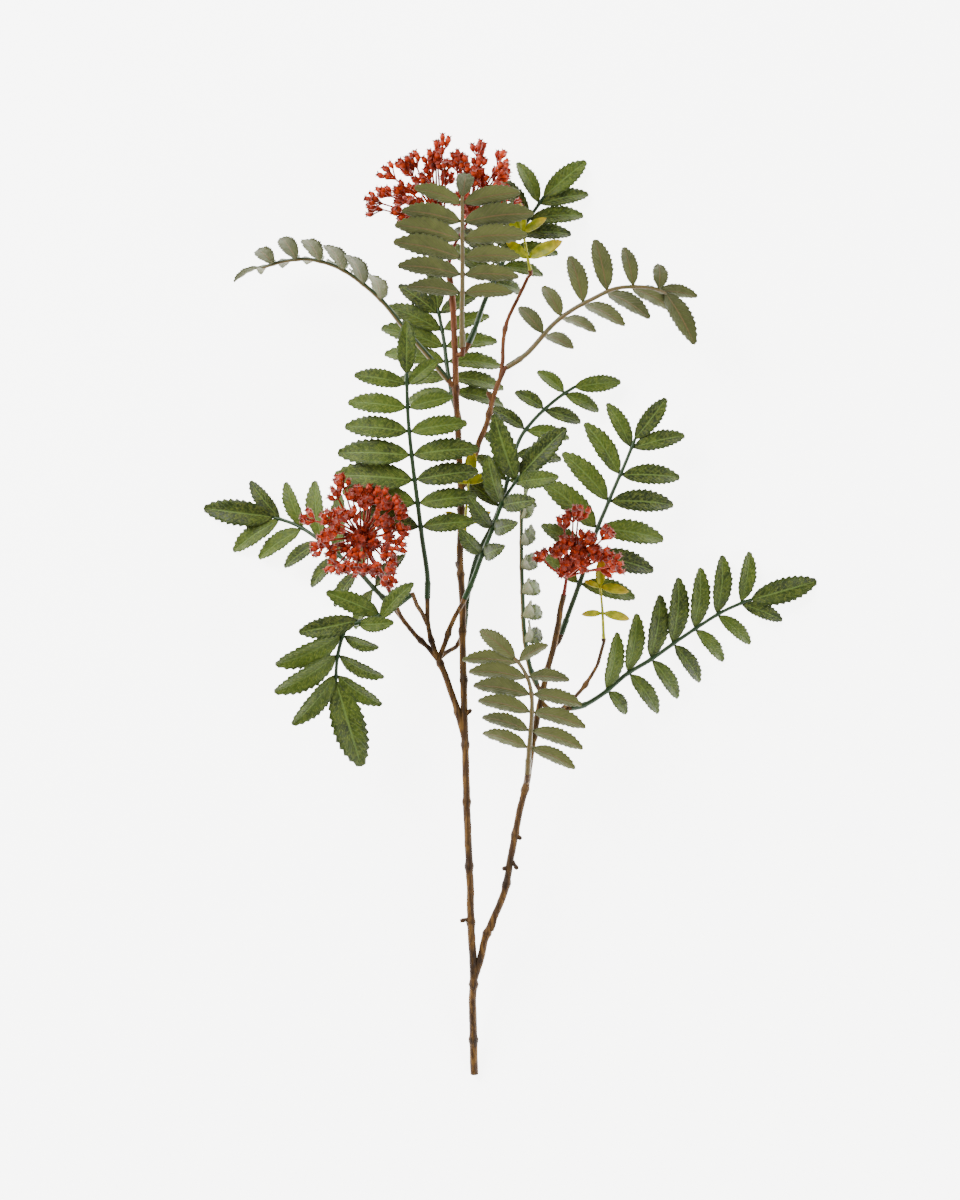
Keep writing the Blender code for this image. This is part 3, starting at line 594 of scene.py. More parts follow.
@dataclass(frozen=True)
class BerryFoam:
    """Moulded foam berries in matt paint: orange-red, deeper red at their stars as paint, with painted shade
    in their hollows, necks and feet.

    The paint's clouds are 3 mm across and its pimples 0.8 mm.
    """

    name: str
    ground: str
    lit: str
    dark_paint_and_shade: str
    roughness: float

    def material(self) -> bpy.types.Material:
        """Build the material, with each berry's tone, and its dark star paint and painted shade along the
        berry, from its attributes.
        """
        material, add, (cloud, pimple) = new_material(self.name, (3.0, 3.0, 1.0), (0.8, 2.0, 1.0))
        tint = add("Attribute", output="Fac", attribute_name="tint")
        depth = add("Attribute", output="Fac", attribute_name="dark_paint_and_shade")
        tone = add("Math", (tint, 0.6), operation="MULTIPLY")
        tone = add("Math", (cloud, 0.6, tone), operation="MULTIPLY_ADD")
        layers = (
            (add("MapRange", (tone, 0.3, 0.9), **SMOOTH), self.lit),
            # Darker red: paint at the stars, darker stalks towards the head's middle, and painted shade in
            # the berries' hollows, necks and feet.
            (add("Math", (depth, 0.85), operation="MULTIPLY"), self.dark_paint_and_shade),
        )
        gloss = (self.roughness - 0.1, self.roughness + 0.1)
        uniform = {"IOR": 1.48, "Specular IOR Level": 0.3}
        set_surface(material, add, self.ground, layers, cloud, gloss, pimple, 0.15, uniform)
        return material


@dataclass(frozen=True)
class BarkWrap:
    """Extruded plastic stem, painted as bark: warm brown with long paler streaks and near-black knots.

    The streaks are 2.4 mm wide and 17 mm long, the dark patches 14 mm wide and the crumbs 1.1 mm.
    """

    name: str
    ground: str
    pale: str
    warm: str
    dark: str
    roughness: float

    def material(self) -> bpy.types.Material:
        """Build the material, with grain drawn out along the stem and the knots from an attribute."""
        grains = (2.4, 5.0, 0.14), (14.0, 3.0, 0.5), (1.1, 3.0, 1.0)
        material, add, (streak, patch, crumb) = new_material(self.name, *grains)
        knot = add("Attribute", output="Fac", attribute_name="knot")
        warmth = add("Attribute", output="Fac", attribute_name="warmth")
        layers = (
            (add("MapRange", (streak, 0.42, 0.62), **SMOOTH), self.pale),
            (add("MapRange", (patch, 0.5, 0.68, 0.0, 0.6), **SMOOTH), self.dark),
            (add("Math", (warmth, 0.75), operation="MULTIPLY"), self.warm),
            (add("Math", (knot, 0.7), operation="MULTIPLY"), self.dark),
        )
        relief = add("Math", (crumb, 0.3), operation="MULTIPLY")
        relief = add("Math", (streak, 0.7, relief), operation="MULTIPLY_ADD")
        gloss = (self.roughness - 0.12, self.roughness + 0.08)
        uniform = {"IOR": 1.5, "Specular IOR Level": 0.25}
        set_surface(material, add, self.ground, layers, crumb, gloss, relief, 0.6, uniform)
        return material


@dataclass(frozen=True)
class SproutPlastic:
    """Moulded soft plastic sprout: yellow-green, turning to orange at the leaflets' tips, half-matt.

    Its clouds are 5 mm across and its pimples 1.2 mm.
    """

    name: str
    ground: str
    lit: str
    tip: str
    roughness: float

    def material(self) -> bpy.types.Material:
        """Build the material from its noises and the blade's UV map."""
        material, add, (cloud, pimple) = new_material(self.name, (5.0, 4.0, 1.0), (1.2, 2.0, 1.0))
        along = add("SeparateXYZ", (add("UVMap", uv_map="blade"),))
        layers = (
            (add("MapRange", (cloud, 0.35, 0.65), **SMOOTH), self.lit),
            (add("MapRange", (along, 0.45, 1.0, 0.0, 0.5), **SMOOTH), self.tip),
        )
        gloss = (self.roughness - 0.06, self.roughness + 0.08)
        uniform = {"IOR": 1.5, "Specular IOR Level": 0.3}
        set_surface(material, add, self.ground, layers, cloud, gloss, pimple, 0.12, uniform)
        return material


@dataclass(frozen=True)
class PaperFloor:
    """Seamless background paper over a light table: near white and matt, lit from below, with 2 mm fibres."""

    name: str
    ground: str
    glow: float

    def material(self) -> bpy.types.Material:
        """Build the material with the paper's faint fibre."""
        material, add, (fibre,) = new_material(self.name, (2.0, 2.0, 1.0))
        sockets = material.node_tree.nodes["Principled BSDF"].inputs
        sockets["Base Color"].default_value = linear(self.ground)
        sockets["Emission Color"].default_value = linear(self.ground)
        sockets["Emission Strength"].default_value = self.glow
        gloss = add("MapRange", (fibre, *GRAIN_RANGE, 0.88, 0.96), **SMOOTH)
        material.node_tree.links.new(gloss, sockets["Roughness"])
        return material


UPPER_CLOTH = LeafCloth(
    name="polyester_leaf_cloth_upper", ground="#1f2a08", lit="#425311", streak="#858e36", rib="#5f7433",
    margin="#1e2c0a", streak_share=0.7, roughness=0.5, sheen=0.1,
)
UNDER_CLOTH = LeafCloth(
    name="polyester_leaf_cloth_under", ground="#434822", lit="#575b2c", streak="#646a38", rib="#6a5634",
    margin="#3e4520", streak_share=0.3, roughness=0.62, sheen=0.1,
)
STALK = StalkPlastic(
    name="polyethylene_leaf_stalk", upper="#1c3214", under="#5f4f2e", fleck="#2f4520", roughness=0.42,
)
BERRY = BerryFoam(
    name="painted_foam_berry", ground="#8f2408", lit="#bd3a0f", dark_paint_and_shade="#4a0f06", roughness=0.5,
)
BARK = BarkWrap(
    name="painted_bark_stem", ground="#3d260d", pale="#6a4a1e", warm="#6a3012", dark="#160c04",
    roughness=0.66,
)
SPROUT = SproutPlastic(
    name="soft_plastic_sprout", ground="#787f0e", lit="#a8a212", tip="#b07f18", roughness=0.5,
)
PAPER = PaperFloor(name="background_paper", ground="#fbfbfa", glow=6.0)


def smooth_point(points: list, share: float) -> Vector:
    """Return the point at a share of a smooth curve through the points, counted point by point."""
    last = len(points) - 1
    place = min(max(share, 0.0), 1.0) * last
    index = min(int(place), last - 1)
    part = place - index
    before, start, end, after = (points[min(max(index + k, 0), last)] for k in (-1, 0, 1, 2))
    slope_in = (end - before) * 0.5
    slope_out = (after - start) * 0.5
    return (
        start * (2 * part**3 - 3 * part**2 + 1)
        + slope_in * (part**3 - 2 * part**2 + part)
        + end * (3 * part**2 - 2 * part**3)
        + slope_out * (part**3 - part**2)
    )


def smooth_route(points: list, step: float) -> list:
    """Return points at even steps of length along the smooth curve through the given points."""
    nodes = [Vector(point) for point in points]
    fine = [smooth_point(nodes, k / 200) for k in range(201)]
    lengths = [0.0]
    for before, after in zip(fine, fine[1:]):
        lengths.append(lengths[-1] + (after - before).length)
    count = max(1, round(lengths[-1] / step))
    route = []
    index = 0
    for k in range(count + 1):
        wanted = lengths[-1] * k / count
        while index < 199 and lengths[index + 1] < wanted:
            index += 1
        part = (wanted - lengths[index]) / max(lengths[index + 1] - lengths[index], 1e-9)
        route.append(fine[index].lerp(fine[index + 1], part))
    return route


def sweep(mesh: bmesh.types.BMesh, route: list, radii: list, sides: int, first_side: Vector) -> list:
    """Add a closed tube along a route: a ring of edges, extruded from place to place and filled at both ends.

    Args:
        mesh: The working mesh that it joins.
        route: The places of its rings.
        radii: The rings' radii.
        sides: The number of its sides.
        first_side: The direction that the rings' first point starts in.

    Returns:
        Its vertices, ring by ring.
    """
    side = first_side
    rings = []
    for k, place in enumerate(route):
        along = (route[min(k + 1, len(route) - 1)] - route[max(k - 1, 0)]).normalized()
        if abs(side.normalized().dot(along)) > 0.95:
            side = along.orthogonal()
        across = (side - along * side.dot(along)).normalized()
        matrix = Matrix((across, along.cross(across), along)).transposed().to_4x4()
        matrix.translation = place
        side = across
        rings.append(matrix @ Matrix.Diagonal((radii[k], radii[k], 1.0, 1.0)))
    made = bmesh.ops.create_circle(mesh, cap_ends=False, segments=sides, radius=1.0, matrix=rings[0])["verts"]
    verts = list(made)
    edges = list({edge for vert in made for edge in vert.link_edges})
    ends = list(edges)
    for before, after in zip(rings, rings[1:]):
        geometry = bmesh.ops.extrude_edge_only(mesh, edges=edges)["geom"]
        edges = [item for item in geometry if isinstance(item, bmesh.types.BMEdge)]
        ring = [item for item in geometry if isinstance(item, bmesh.types.BMVert)]
        bmesh.ops.transform(mesh, matrix=after @ before.inverted(), verts=ring)
        verts += ring
    bmesh.ops.holes_fill(mesh, edges=ends + edges)
    return verts


def place_object(name: str, data: bpy.types.ID) -> bpy.types.Object:
    """Make an object of a mesh, a light or a camera, and put it in the scene."""
    made = bpy.data.objects.new(name, data)
    bpy.context.scene.collection.objects.link(made)
    return made


def finish_piece(
    mesh: bmesh.types.BMesh, name: str, materials: list, sharp: float = 50.0
) -> bpy.types.Object:
    """Bring a working mesh to metres and make it an object of the sprig.

    Args:
        mesh: The working mesh, in millimetres.
        name: The piece's name.
        materials: Its materials, in slot order.
        sharp: The angle between faces, in degrees, that stays a sharp edge.

    Returns:
        The new object, riding on the sprig's body.
    """
    to_metres = Matrix.Scale(MM, 4) @ Matrix.Translation(CENTRE_SHIFT)
    bmesh.ops.transform(mesh, matrix=to_metres, verts=mesh.verts[:])
    data = bpy.data.meshes.new(name)
    mesh.to_mesh(data)
    mesh.free()
    for material in materials:
        data.materials.append(material)
    data.shade_smooth()
    data.set_sharp_from_angle(angle=math.radians(sharp))
    piece = place_object(name, data)
    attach(piece, "root")
    LOG.info("%s: %d faces", name, len(data.polygons))
    return piece


def half_width(share: float, width: float) -> float:
    """Return a leaflet's half width at a share of its length: widest before the middle, pointed last."""
    return 0.5 * width * OUTLINE_FULLNESS * share**OUTLINE_FOOT * (1.0 - share) ** OUTLINE_TIP


@dataclass
class CompoundLeaf:
    """One compound leaf or sprout: a moulded stalk with its sleeve, and leaflets in pairs and at the tip."""

    frond: Frond
    blades: list
    stalk: list
    slot: str
    teeth: int = LEAFLET_TEETH

    def lay_out(self) -> None:
        """Work out the stalk's places, the pairs' places, the leaflets' tips and the way that they face."""
        frond = self.frond
        self.fine = smooth_route(frond.stalk, 1.0)
        self.total = len(self.fine) - 1
        reach = PAIRS_END - frond.bare
        steps = frond.pairs - 1
        self.pairs = [round(self.total * (frond.bare + reach * k / steps)) for k in range(frond.pairs)]
        curves = [[Vector(point) for point in side] for side in (frond.left, frond.right)]
        self.tips = [[smooth_point(curve, k / steps) for curve in curves] for k in range(frond.pairs)]
        face = Vector(frond.face)
        self.planes = []
        for pair, (left, right) in zip(self.pairs, self.tips):
            normal = self.along(pair).cross(left - right) / (left - right).length
            if normal.dot(face) < 0.0:
                normal.negate()
            self.planes.append((normal + face.normalized() * PLANE_STEADINESS).normalized())

    def along(self, place: int) -> Vector:
        """Return the stalk's direction at a place along it."""
        return (self.fine[min(place + 2, self.total)] - self.fine[max(place - 2, 0)]).normalized()

    def up_at(self, place: int) -> Vector:
        """Return the direction that the leaf's upper side faces at a place along its stalk."""
        up = self.planes[-1]
        for k in range(len(self.pairs) - 1):
            if place < self.pairs[k + 1]:
                share = max(0.0, (place - self.pairs[k]) / (self.pairs[k + 1] - self.pairs[k]))
                up = self.planes[k].lerp(self.planes[k + 1], share)
                break
        along = self.along(place)
        return (up - along * up.dot(along)).normalized()

    def radius_at(self, place: float) -> float:
        """Return the stalk's radius: a sleeve with rolled ends, then a taper that swells at each pair."""
        young = self.frond.young
        sleeve = YOUNG_SLEEVE_LENGTH if young else SLEEVE_LENGTH
        stout = YOUNG_STOUTNESS if young else 1.0
        if place < sleeve:
            lip = SLEEVE_LIP if place < LIP_LENGTH or sleeve - place < LIP_LENGTH else 0.0
            return stout * (SLEEVE_RADIUS + lip)
        taper = RACHIS_RADIUS + (RACHIS_TIP_RADIUS - RACHIS_RADIUS) * place / self.total
        nearest = min(abs(place - pair) for pair in self.pairs)
        return stout * (taper + PAIR_SWELL * math.exp(-((nearest / PAIR_SWELL_REACH) ** 2)))

    def add_blade(
        self, sheet: bmesh.types.BMesh, foot: Vector, tip: Vector, face: Vector, draw: random.Random
    ) -> None:
        """Add one leaflet to a sheet: a grid drawn to its outline, folded along its rib, arched and rippled.

        Args:
            sheet: The working mesh of the leaf's cloth.
            foot: Where it leaves the stalk.
            tip: Where it ends.
            face: The direction that its upper side faces.
            draw: The leaf's own random numbers.
        """
        young = self.frond.young
        length = (tip - foot).length
        along = (tip - foot) / length
        up = (face - along * face.dot(along)).normalized()
        across = up.cross(along)
        width = max(LEAFLET_WIDTH_SHARE * length, 0.0 if young else LEAFLET_LEAST_WIDTH)
        phase = draw.uniform(0.0, 2.0 * math.pi)
        tone = draw.random()
        ripple = 0.0 if young else BLADE_RIPPLE * draw.uniform(0.5, 1.3)
        columns = 2 * self.teeth
        uv = sheet.loops.layers.uv["blade"]
        tint = sheet.verts.layers.float["tint"]
        verts = bmesh.ops.create_grid(sheet, x_segments=columns, y_segments=BLADE_COLUMNS, size=0.5)["verts"]
        for face_made in {item for vert in verts for item in vert.link_faces}:
            for loop in face_made.loops:
                loop[uv].uv = (loop.vert.co.x + 0.5, loop.vert.co.y + 0.5)
        for vert in verts:
            share = min(max(vert.co.x + 0.5, 0.0), 1.0)
            out = 2.0 * vert.co.y
            margin = abs(out) ** 3
            tooth = 0 < share < 1 and round(share * columns) % 2 == 1 and not young
            half = half_width(share, width)
            if share < 0.5:
                half = max(half, FOOT_HALF_WIDTH)
            if not young:
                half *= 1.0 + margin * (TOOTH_OUT if tooth else -NOTCH_IN)
            y = out * half
            x = length * min(share + (TOOTH_LEAN * margin if tooth else 0.0), 1.0)
            z = BLADE_FOLD * abs(y) + BLADE_ARCH * length * math.sin(math.pi * share)
            z += ripple * out * out * math.sin(7.0 * math.pi * share + phase + math.copysign(1.0, out))
            spot = foot + along * x + across * y + up * z
            spot.z = max(spot.z, BLADE_THICKNESS)
            vert.co = spot
            vert[tint] = tone

    def build_blades(self) -> bpy.types.Object:
        """Build the leaf's cloth as one piece: every leaflet, with its upper side and its under side.

        Returns:
            The finished piece.
        """
        draw = random.Random(self.frond.name)
        sheet = bmesh.new()
        sheet.loops.layers.uv.new("blade")
        sheet.verts.layers.float.new("tint")
        for pair, plane, ends in zip(self.pairs, self.planes, self.tips):
            up = self.up_at(pair)
            along = self.along(pair)
            across = up.cross(along) * self.radius_at(pair) * 0.8
            leaning = plane + along * BLADE_TILT
            first, second = ends if across.dot(ends[0] - ends[1]) > 0.0 else ends[::-1]
            self.add_blade(sheet, self.fine[pair] + across, first, leaning, draw)
            self.add_blade(sheet, self.fine[pair] - across, second, leaning, draw)
        foot = self.fine[-1] - self.along(self.total)
        self.add_blade(sheet, foot, Vector(self.frond.tip), self.planes[-1], draw)
        bmesh.ops.remove_doubles(sheet, verts=sheet.verts[:], dist=0.001)
        piece = finish_piece(sheet, self.frond.name + "_leaflets", self.blades)
        shell = piece.modifiers.new("Thickness", "SOLIDIFY")
        shell.thickness = BLADE_THICKNESS * MM
        shell.offset = 0.0
        shell.material_offset = LeafSide.UNDER.value
        shell.material_offset_rim = LeafSide.UPPER.value
        return piece

    def build_stalk(self) -> bpy.types.Object:
        """Build the leaf's stalk with its sleeve as one piece.

        Returns:
            The finished piece.
        """
        mesh = bmesh.new()
        mesh.loops.layers.uv.new("blade")
        upper = mesh.verts.layers.float.new("upper")
        places = list(range(0, self.total, RACHIS_STEP)) + [self.total]
        route = [self.fine[place] for place in places]
        radii = [self.radius_at(place) for place in places]
        radii[0] *= 0.9
        radii[-1] *= 0.7
        verts = sweep(mesh, route, radii, RACHIS_SIDES, self.up_at(0))
        for k, vert in enumerate(verts):
            ring = k // RACHIS_SIDES
            vert[upper] = (vert.co - route[ring]).normalized().dot(self.up_at(places[ring]))
        bmesh.ops.recalc_face_normals(mesh, faces=mesh.faces[:])
        return finish_piece(mesh, self.frond.name + "_stalk", self.stalk)

    def build(self) -> None:
        """Build the leaf and let its pieces stand for the solid."""
        self.lay_out()
        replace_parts(self.build_blades(), self.frond.name)
        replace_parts(self.build_stalk(), self.frond.name)


@dataclass
class BerryHead:
    """One berry head: a stalk, thin rays from its hubs, and berries in small tufts on thinner stalks."""

    head: Head
    berry: list
    tufts: int
    berries_each: int
    length: float = 7.2
    belly: float = 2.5
    sides: int = 10
    ray_radius: float = 0.85
    pedicel_radius: float = 0.65
    # How far along a ray its tuft begins, and how far the ray bows.
    knee_share: float = 0.76
    bow: float = 2.5
    # How much shallower than the crown a tuft may lie, and how far a berry stands out and hangs back in it.
    most_shallow: float = 0.45
    stand_out: tuple = (4.2, 7.5)
    hang_back: tuple = (0.5, 6.0)
    sizes: tuple = (0.88, 1.05)

    def berry_shape(self) -> bpy.types.Mesh:
        """Build one berry on end: a round belly, a neck and a flared star of five points.

        Returns:
            The berry's mesh, with its foot at the origin and its star at the top.
        """
        mesh = bmesh.new()
        dark_paint_and_shade = mesh.verts.layers.float.new("dark_paint_and_shade")
        mesh.verts.layers.float.new("tint")
        # Each ring's height, radius and darkening: dark star paint at the top, painted shade at the foot and
        # at the neck under the star.
        profile = (
            (0.00, 0.30, 0.40), (0.20, 0.66, 0.15), (0.45, 1.0, 0.0), (0.66, 0.86, 0.05), (0.80, 0.66, 0.30),
            (0.97, 0.98, 0.25),
        )
        ring = bmesh.ops.create_circle(mesh, cap_ends=True, segments=self.sides, radius=1.0)["verts"]
        edges = list({edge for vert in ring for edge in vert.link_edges})
        for k, (height, radius, depth) in enumerate(profile):
            if k:
                geometry = bmesh.ops.extrude_edge_only(mesh, edges=edges)["geom"]
                edges = [item for item in geometry if isinstance(item, bmesh.types.BMEdge)]
                ring = [item for item in geometry if isinstance(item, bmesh.types.BMVert)]
            for vert in ring:
                flat = vert.co.xy.normalized() * radius * self.belly
                vert.co = (flat.x, flat.y, height * self.length)
                vert[dark_paint_and_shade] = depth
        for k, vert in enumerate(sorted(ring, key=lambda item: math.atan2(item.co.y, item.co.x))):
            point = k % 2 == 0
            vert.co.xy *= 1.3 if point else 0.72
            vert.co.z += 0.5 if point else -0.5
            vert[dark_paint_and_shade] = 0.9 if point else 0.5
        hollow = bmesh.ops.contextual_create(mesh, geom=edges)["faces"]
        bmesh.ops.recalc_face_normals(mesh, faces=mesh.faces[:])
        made = bmesh.ops.poke(mesh, faces=hollow)["verts"]
        # The hollow in the star's middle is darkest: dark star paint with painted shade.
        for vert in made:
            vert.co.z -= 1.2
            vert[dark_paint_and_shade] = 1.0
        data = bpy.data.meshes.new(self.head.name + "_berry")
        mesh.to_mesh(data)
        mesh.free()
        return data

    def add_berry(
        self, mesh: bmesh.types.BMesh, shape: bpy.types.Mesh, foot: Vector, along: Vector, size: float,
        tone: float,
    ) -> None:
        """Set one berry in the head.

        Args:
            mesh: The head's working mesh.
            shape: The berry's mesh.
            foot: Where it sits on its stalk.
            along: The direction that its star points in.
            size: Its size against the shape's.
            tone: Its tone, from 0 to 1.
        """
        start = len(mesh.verts)
        mesh.from_mesh(shape)
        mesh.verts.ensure_lookup_table()
        tint = mesh.verts.layers.float["tint"]
        made = mesh.verts[start:]
        turn = Vector((0.0, 0.0, 1.0)).rotation_difference(along).to_matrix().to_4x4()
        spin = Matrix.Rotation(tone * 2.0 * math.pi, 4, "Z")
        matrix = Matrix.Translation(foot) @ turn @ spin @ Matrix.Scale(size, 4)
        bmesh.ops.transform(mesh, matrix=matrix, verts=made)
        for vert in made:
            vert[tint] = tone

    def add_stalk(self, mesh: bmesh.types.BMesh, route: list, radii: list, tone: float, depth: float) -> None:
        """Add one thin stalk, in the berries' own paint, darkened by the given share."""
        verts = sweep(mesh, route, radii, 6, Vector((0.13, 0.21, 1.0)))
        tint = mesh.verts.layers.float["tint"]
        dark_paint_and_shade = mesh.verts.layers.float["dark_paint_and_shade"]
        for vert in verts:
            vert[tint] = tone
            vert[dark_paint_and_shade] = depth

    def build(self) -> None:
        """Build the head as one piece and let it stand for the solid."""
        head = self.head
        draw = random.Random(head.seed)
        mesh = bmesh.new()
        mesh.verts.layers.float.new("tint")
        mesh.verts.layers.float.new("dark_paint_and_shade")
        shape = self.berry_shape()
        hubs = [Vector(hub) for hub in head.hubs]
        stalk = smooth_route([*head.stalk, head.hubs[0]], 3.0)
        radii = [1.75 - 0.55 * k / (len(stalk) - 1) for k in range(len(stalk))]
        # The stalks darken towards the head's middle: the main stalk most, the rays less and the berries' own
        # stalks least.
        self.add_stalk(mesh, stalk, radii, 0.2, 0.75)
        for hub in hubs[1:]:
            self.add_stalk(mesh, [Vector(head.stalk[-1]), hub], [1.3, 1.1], 0.2, 0.7)
        turn = Vector((0.0, 0.0, 1.0)).rotation_difference(Vector(head.axis).normalized())
        lowest = math.cos(math.radians(head.spread))
        for k in range(self.tufts):
            height = 1.0 - (1.0 - lowest) * (k + 0.35) / self.tufts
            around = k * GOLDEN_ANGLE + head.seed
            flat = math.sqrt(max(0.0, 1.0 - height * height))
            direction = turn @ Vector((flat * math.cos(around), flat * math.sin(around), height))
            deep = 1.0 - self.most_shallow * draw.random() ** 1.3
            crown = Vector(head.centre) + Vector(a * b * deep for a, b in zip(direction, head.radii))
            hub = min(hubs, key=lambda point: (point - crown).length)
            outward = (crown - hub).normalized()
            knee = hub.lerp(crown, self.knee_share)
            bend = hub.lerp(knee, 0.5) + outward.orthogonal().normalized() * draw.uniform(-self.bow, self.bow)
            ray = smooth_route([hub, bend, knee], 6.0)
            radii = [self.ray_radius * (1.25 - 0.45 * n / (len(ray) - 1)) for n in range(len(ray))]
            self.add_stalk(mesh, ray, radii, draw.random(), 0.45)
            lean = (outward + direction).normalized()
            for n in range(self.berries_each):
                if n == 0:
                    top = crown
                else:
                    angle = 2.0 * math.pi * (n + draw.random() * 0.5) / (self.berries_each - 1)
                    swing = Matrix.Rotation(angle, 3, lean) @ lean.orthogonal().normalized()
                    top = crown + swing * draw.uniform(*self.stand_out) - lean * draw.uniform(*self.hang_back)
                pointing = ((top - knee).normalized() + lean * 0.7).normalized()
                foot = top - pointing * self.length * 0.96
                tone = draw.random()
                stem = smooth_route([knee, knee.lerp(foot, 0.55) + lean * 0.8, foot + pointing * 0.6], 4.0)
                self.add_stalk(mesh, stem, [self.pedicel_radius] * len(stem), tone, 0.3)
                self.add_berry(mesh, shape, foot, pointing, draw.uniform(*self.sizes), tone)
        bpy.data.meshes.remove(shape)
        bmesh.ops.recalc_face_normals(mesh, faces=mesh.faces[:])
        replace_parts(finish_piece(mesh, head.name + "_dressed", self.berry, 60.0), head.name)


@dataclass
class WoodyStem:
    """The forked stem with its twigs, cut stubs and pegs, in painted bark."""

    twigs: tuple
    stubs: tuple
    pegs: dict
    stalks: dict
    bark: list
    # The tables' height from which the wood turns reddish, towards the top head.
    warm_from: float = 90.0
    warm_to: float = 250.0

    def peg_end(self, name: str) -> tuple[Vector, Vector]:
        """Return where the peg under a plugged-on piece ends, just short of it, and where it points."""
        first, second = (Vector(point) for point in self.stalks[name][:2])
        along = (second - first).normalized()
        return first - along * FIT_GAP, along

    def add_wood(self, mesh: bmesh.types.BMesh, route: list, radii: list, knots: list) -> None:
        """Add one length of wood with the bark's relief.

        Args:
            mesh: The stem's working mesh.
            route: The places of its rings.
            radii: The rings' radii.
            knots: How much of a knot each ring is, from 0 to 1.
        """
        verts = sweep(mesh, route, radii, STEM_SIDES, Vector((0.13, 0.21, 1.0)))
        knot = mesh.verts.layers.float["knot"]
        warmth = mesh.verts.layers.float["warmth"]
        for k, vert in enumerate(verts):
            ring = k // STEM_SIDES
            out = (vert.co - route[ring]).normalized()
            ridged = Vector((vert.co.x, vert.co.y * 0.25, vert.co.z)) * 0.9
            if 0 < ring < len(route) - 1:
                rough = noise.noise(ridged) + knots[ring] * noise.noise(vert.co * 0.8)
                vert.co += out * BARK_RELIEF * rough
            vert[knot] = knots[ring] * (0.6 + 0.6 * noise.noise(vert.co * 0.7))
            rise = (vert.co.y - self.warm_from) / (self.warm_to - self.warm_from)
            vert[warmth] = min(max(rise, 0.0), 1.0) * 0.9

    def add_twig(self, mesh: bmesh.types.BMesh, twig: Twig) -> None:
        """Add one twig, with its knots, and the peg at its end if it carries a piece."""
        fine = smooth_route(twig.route, 1.0)
        total = len(fine) - 1
        places = list(range(0, total, STEM_STEP)) + [total]
        knots = [knot * total for knot in twig.knots]
        route = []
        radii = []
        swell = []
        for place in places:
            near = max([math.exp(-(((place - knot) / KNOT_SPREAD) ** 2)) for knot in knots] or [0.0])
            spot = fine[place] * 0.06
            wander = Vector((noise.noise(spot), 0.0, noise.noise(spot + Vector((9, 9, 9)))))
            ends = min(place, total - place) / 12.0
            route.append(fine[place] + wander * 0.5 * min(ends, 1.0))
            radii.append(twig.radii[0] + (twig.radii[1] - twig.radii[0]) * place / total + KNOT_HEIGHT * near)
            swell.append(near)
        if twig.carries:
            end, along = self.peg_end(twig.carries)
            route += [end - along * PEG_LENGTH * 0.5, end]
            radii += [twig.radii[1], max(twig.radii[1], 0.9 * PEG_RADIUS)]
            swell += [0.3, 0.6]
        self.add_wood(mesh, route, radii, swell)

    def build(self) -> None:
        """Build the stem as one piece and let it stand for the solid."""
        mesh = bmesh.new()
        mesh.verts.layers.float.new("knot")
        mesh.verts.layers.float.new("warmth")
        for twig in self.twigs:
            self.add_twig(mesh, twig)
        for foot, end in self.stubs:
            foot, end = Vector(foot), Vector(end)
            route = [foot.lerp(end, share) for share in (0.0, 0.4, 0.75, 1.0)]
            radii = [STUB_RADIUS * size for size in (1.0, 0.8, 0.95, 0.7)]
            self.add_wood(mesh, route, radii, [0.0, 0.3, 0.8, 1.0])
        for name, foot in self.pegs.items():
            end, along = self.peg_end(name)
            foot = Vector(foot)
            bend = end - along * min(PEG_LENGTH, 0.6 * (end - foot).length)
            radii = [PEG_RADIUS * size for size in (0.8, 0.85, 1.0)]
            self.add_wood(mesh, [foot, bend, end], radii, [0.0, 0.2, 0.5])
        bmesh.ops.recalc_face_normals(mesh, faces=mesh.faces[:])
        piece = finish_piece(mesh, "woody_stem_dressed", self.bark, 40.0)
        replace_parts(piece, "woody_stem")


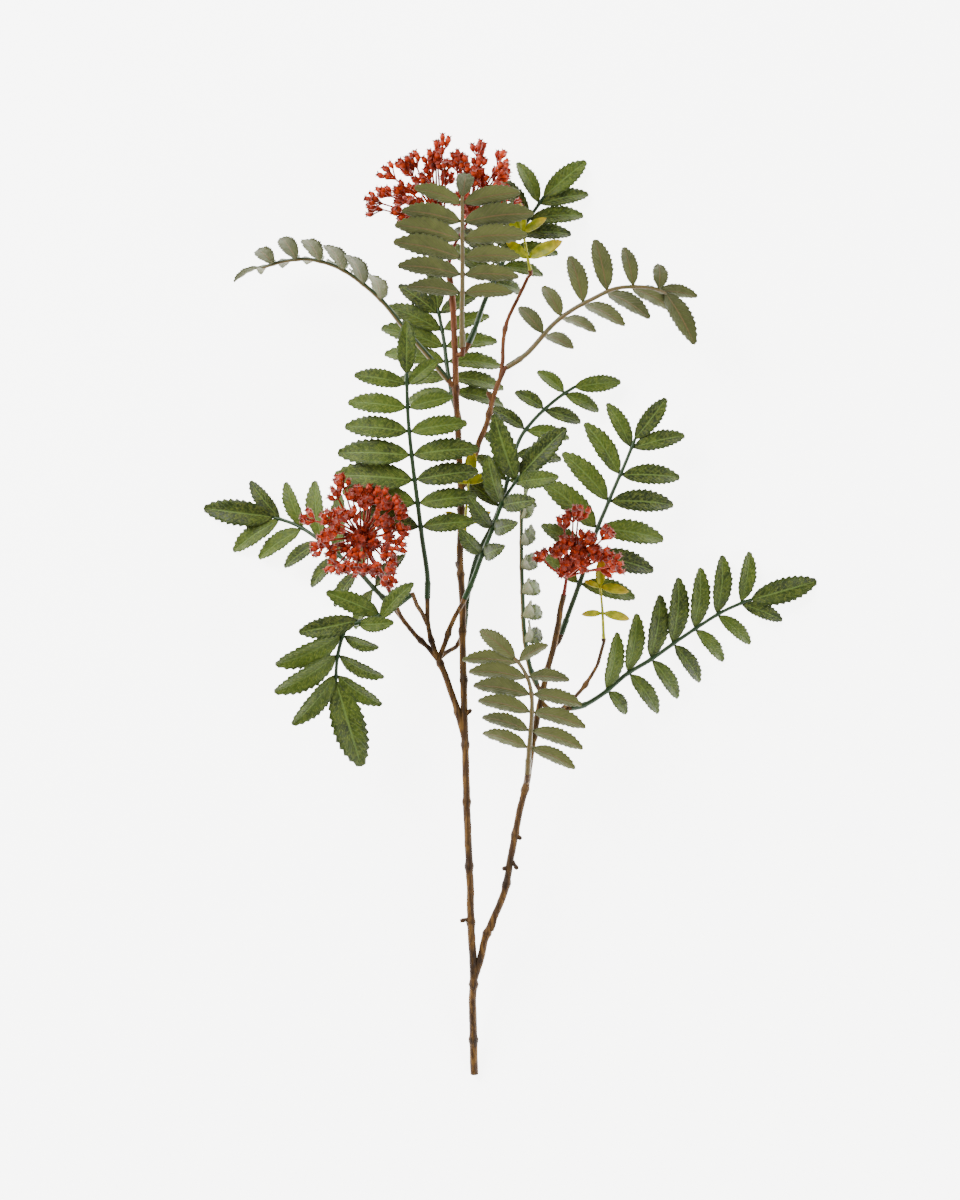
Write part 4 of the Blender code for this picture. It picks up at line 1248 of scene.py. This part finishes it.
@dataclass
class Studio:
    """The pale floor, the soft lights and the camera that looks down on the sprig."""

    floor_size: float = 14.0
    camera_height: float = 4.05
    subject_height: float = 0.05
    sensor_mm: float = 36.0
    view_centre: tuple = (-0.0245, 0.0039)
    room_strength: float = 0.22
    # Each light's name, place, size and power in watts.
    lights: tuple = (
        ("key_light", (-2.2, 1.9, 2.4), 2.0, 270.0),
        ("fill_light", (2.6, -1.6, 2.2), 2.4, 130.0),
    )

    def lay_floor(self) -> None:
        """Lay the paper just under the sprig."""
        mesh = bmesh.new()
        bmesh.ops.create_grid(mesh, x_segments=2, y_segments=2, size=self.floor_size / 2.0)
        data = bpy.data.meshes.new("paper_floor")
        mesh.to_mesh(data)
        mesh.free()
        data.materials.append(PAPER.material())
        place_object("paper_floor", data)

    def hang_light(self, name: str, place: tuple, size: float, watts: float) -> None:
        """Hang one square soft light that looks at the sprig."""
        data = bpy.data.lights.new(name, "AREA")
        data.shape = "SQUARE"
        data.size = size
        data.energy = watts
        lamp = place_object(name, data)
        lamp.location = place
        lamp.rotation_euler = Vector(place).to_track_quat("Z", "Y").to_euler()

    def set_camera(self) -> None:
        """Set the camera straight above the photo's middle, so that one photo pixel is 0.8 mm at the stem."""
        data = bpy.data.cameras.new("photo_camera")
        tall = PHOTO_HEIGHT * MM_PER_PHOTO_PIXEL * MM
        data.sensor_width = self.sensor_mm
        data.lens = self.sensor_mm * (self.camera_height - self.subject_height) / tall
        camera = place_object("photo_camera", data)
        camera.location = (*self.view_centre, self.camera_height)
        bpy.context.scene.camera = camera

    def light_world(self) -> None:
        """Fill the room with even pale light."""
        world = bpy.data.worlds.new("studio_room")
        world.use_nodes = True
        background = world.node_tree.nodes["Background"]
        background.inputs["Color"].default_value = (1.0, 1.0, 1.0, 1.0)
        background.inputs["Strength"].default_value = self.room_strength
        bpy.context.scene.world = world

    def build(self) -> None:
        """Set up the whole studio."""
        self.lay_floor()
        for light in self.lights:
            self.hang_light(*light)
        self.set_camera()
        self.light_world()


def main() -> None:
    """Dress the sprig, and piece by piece."""
    logging.basicConfig(level=logging.INFO, format="%(message)s")
    Studio().build()
    cloth = [UPPER_CLOTH.material(), UNDER_CLOTH.material()]
    stalk = [STALK.material()]
    sprout = [SPROUT.material()]
    berry = [BERRY.material()]
    WoodyStem(TWIGS, STUBS, SIDE_PEGS, STALKS, [BARK.material()]).build()
    for frond in FRONDS:
        CompoundLeaf(frond, cloth, stalk, "leaf_green").build()
    for young in SPROUTS:
        CompoundLeaf(young, sprout * 2, sprout, "sprout_green", 5).build()
    for head, (tufts, each) in zip(HEADS, HEAD_FULLNESS):
        BerryHead(head, berry, tufts, each).build()


if __name__ == "__main__":
    main()
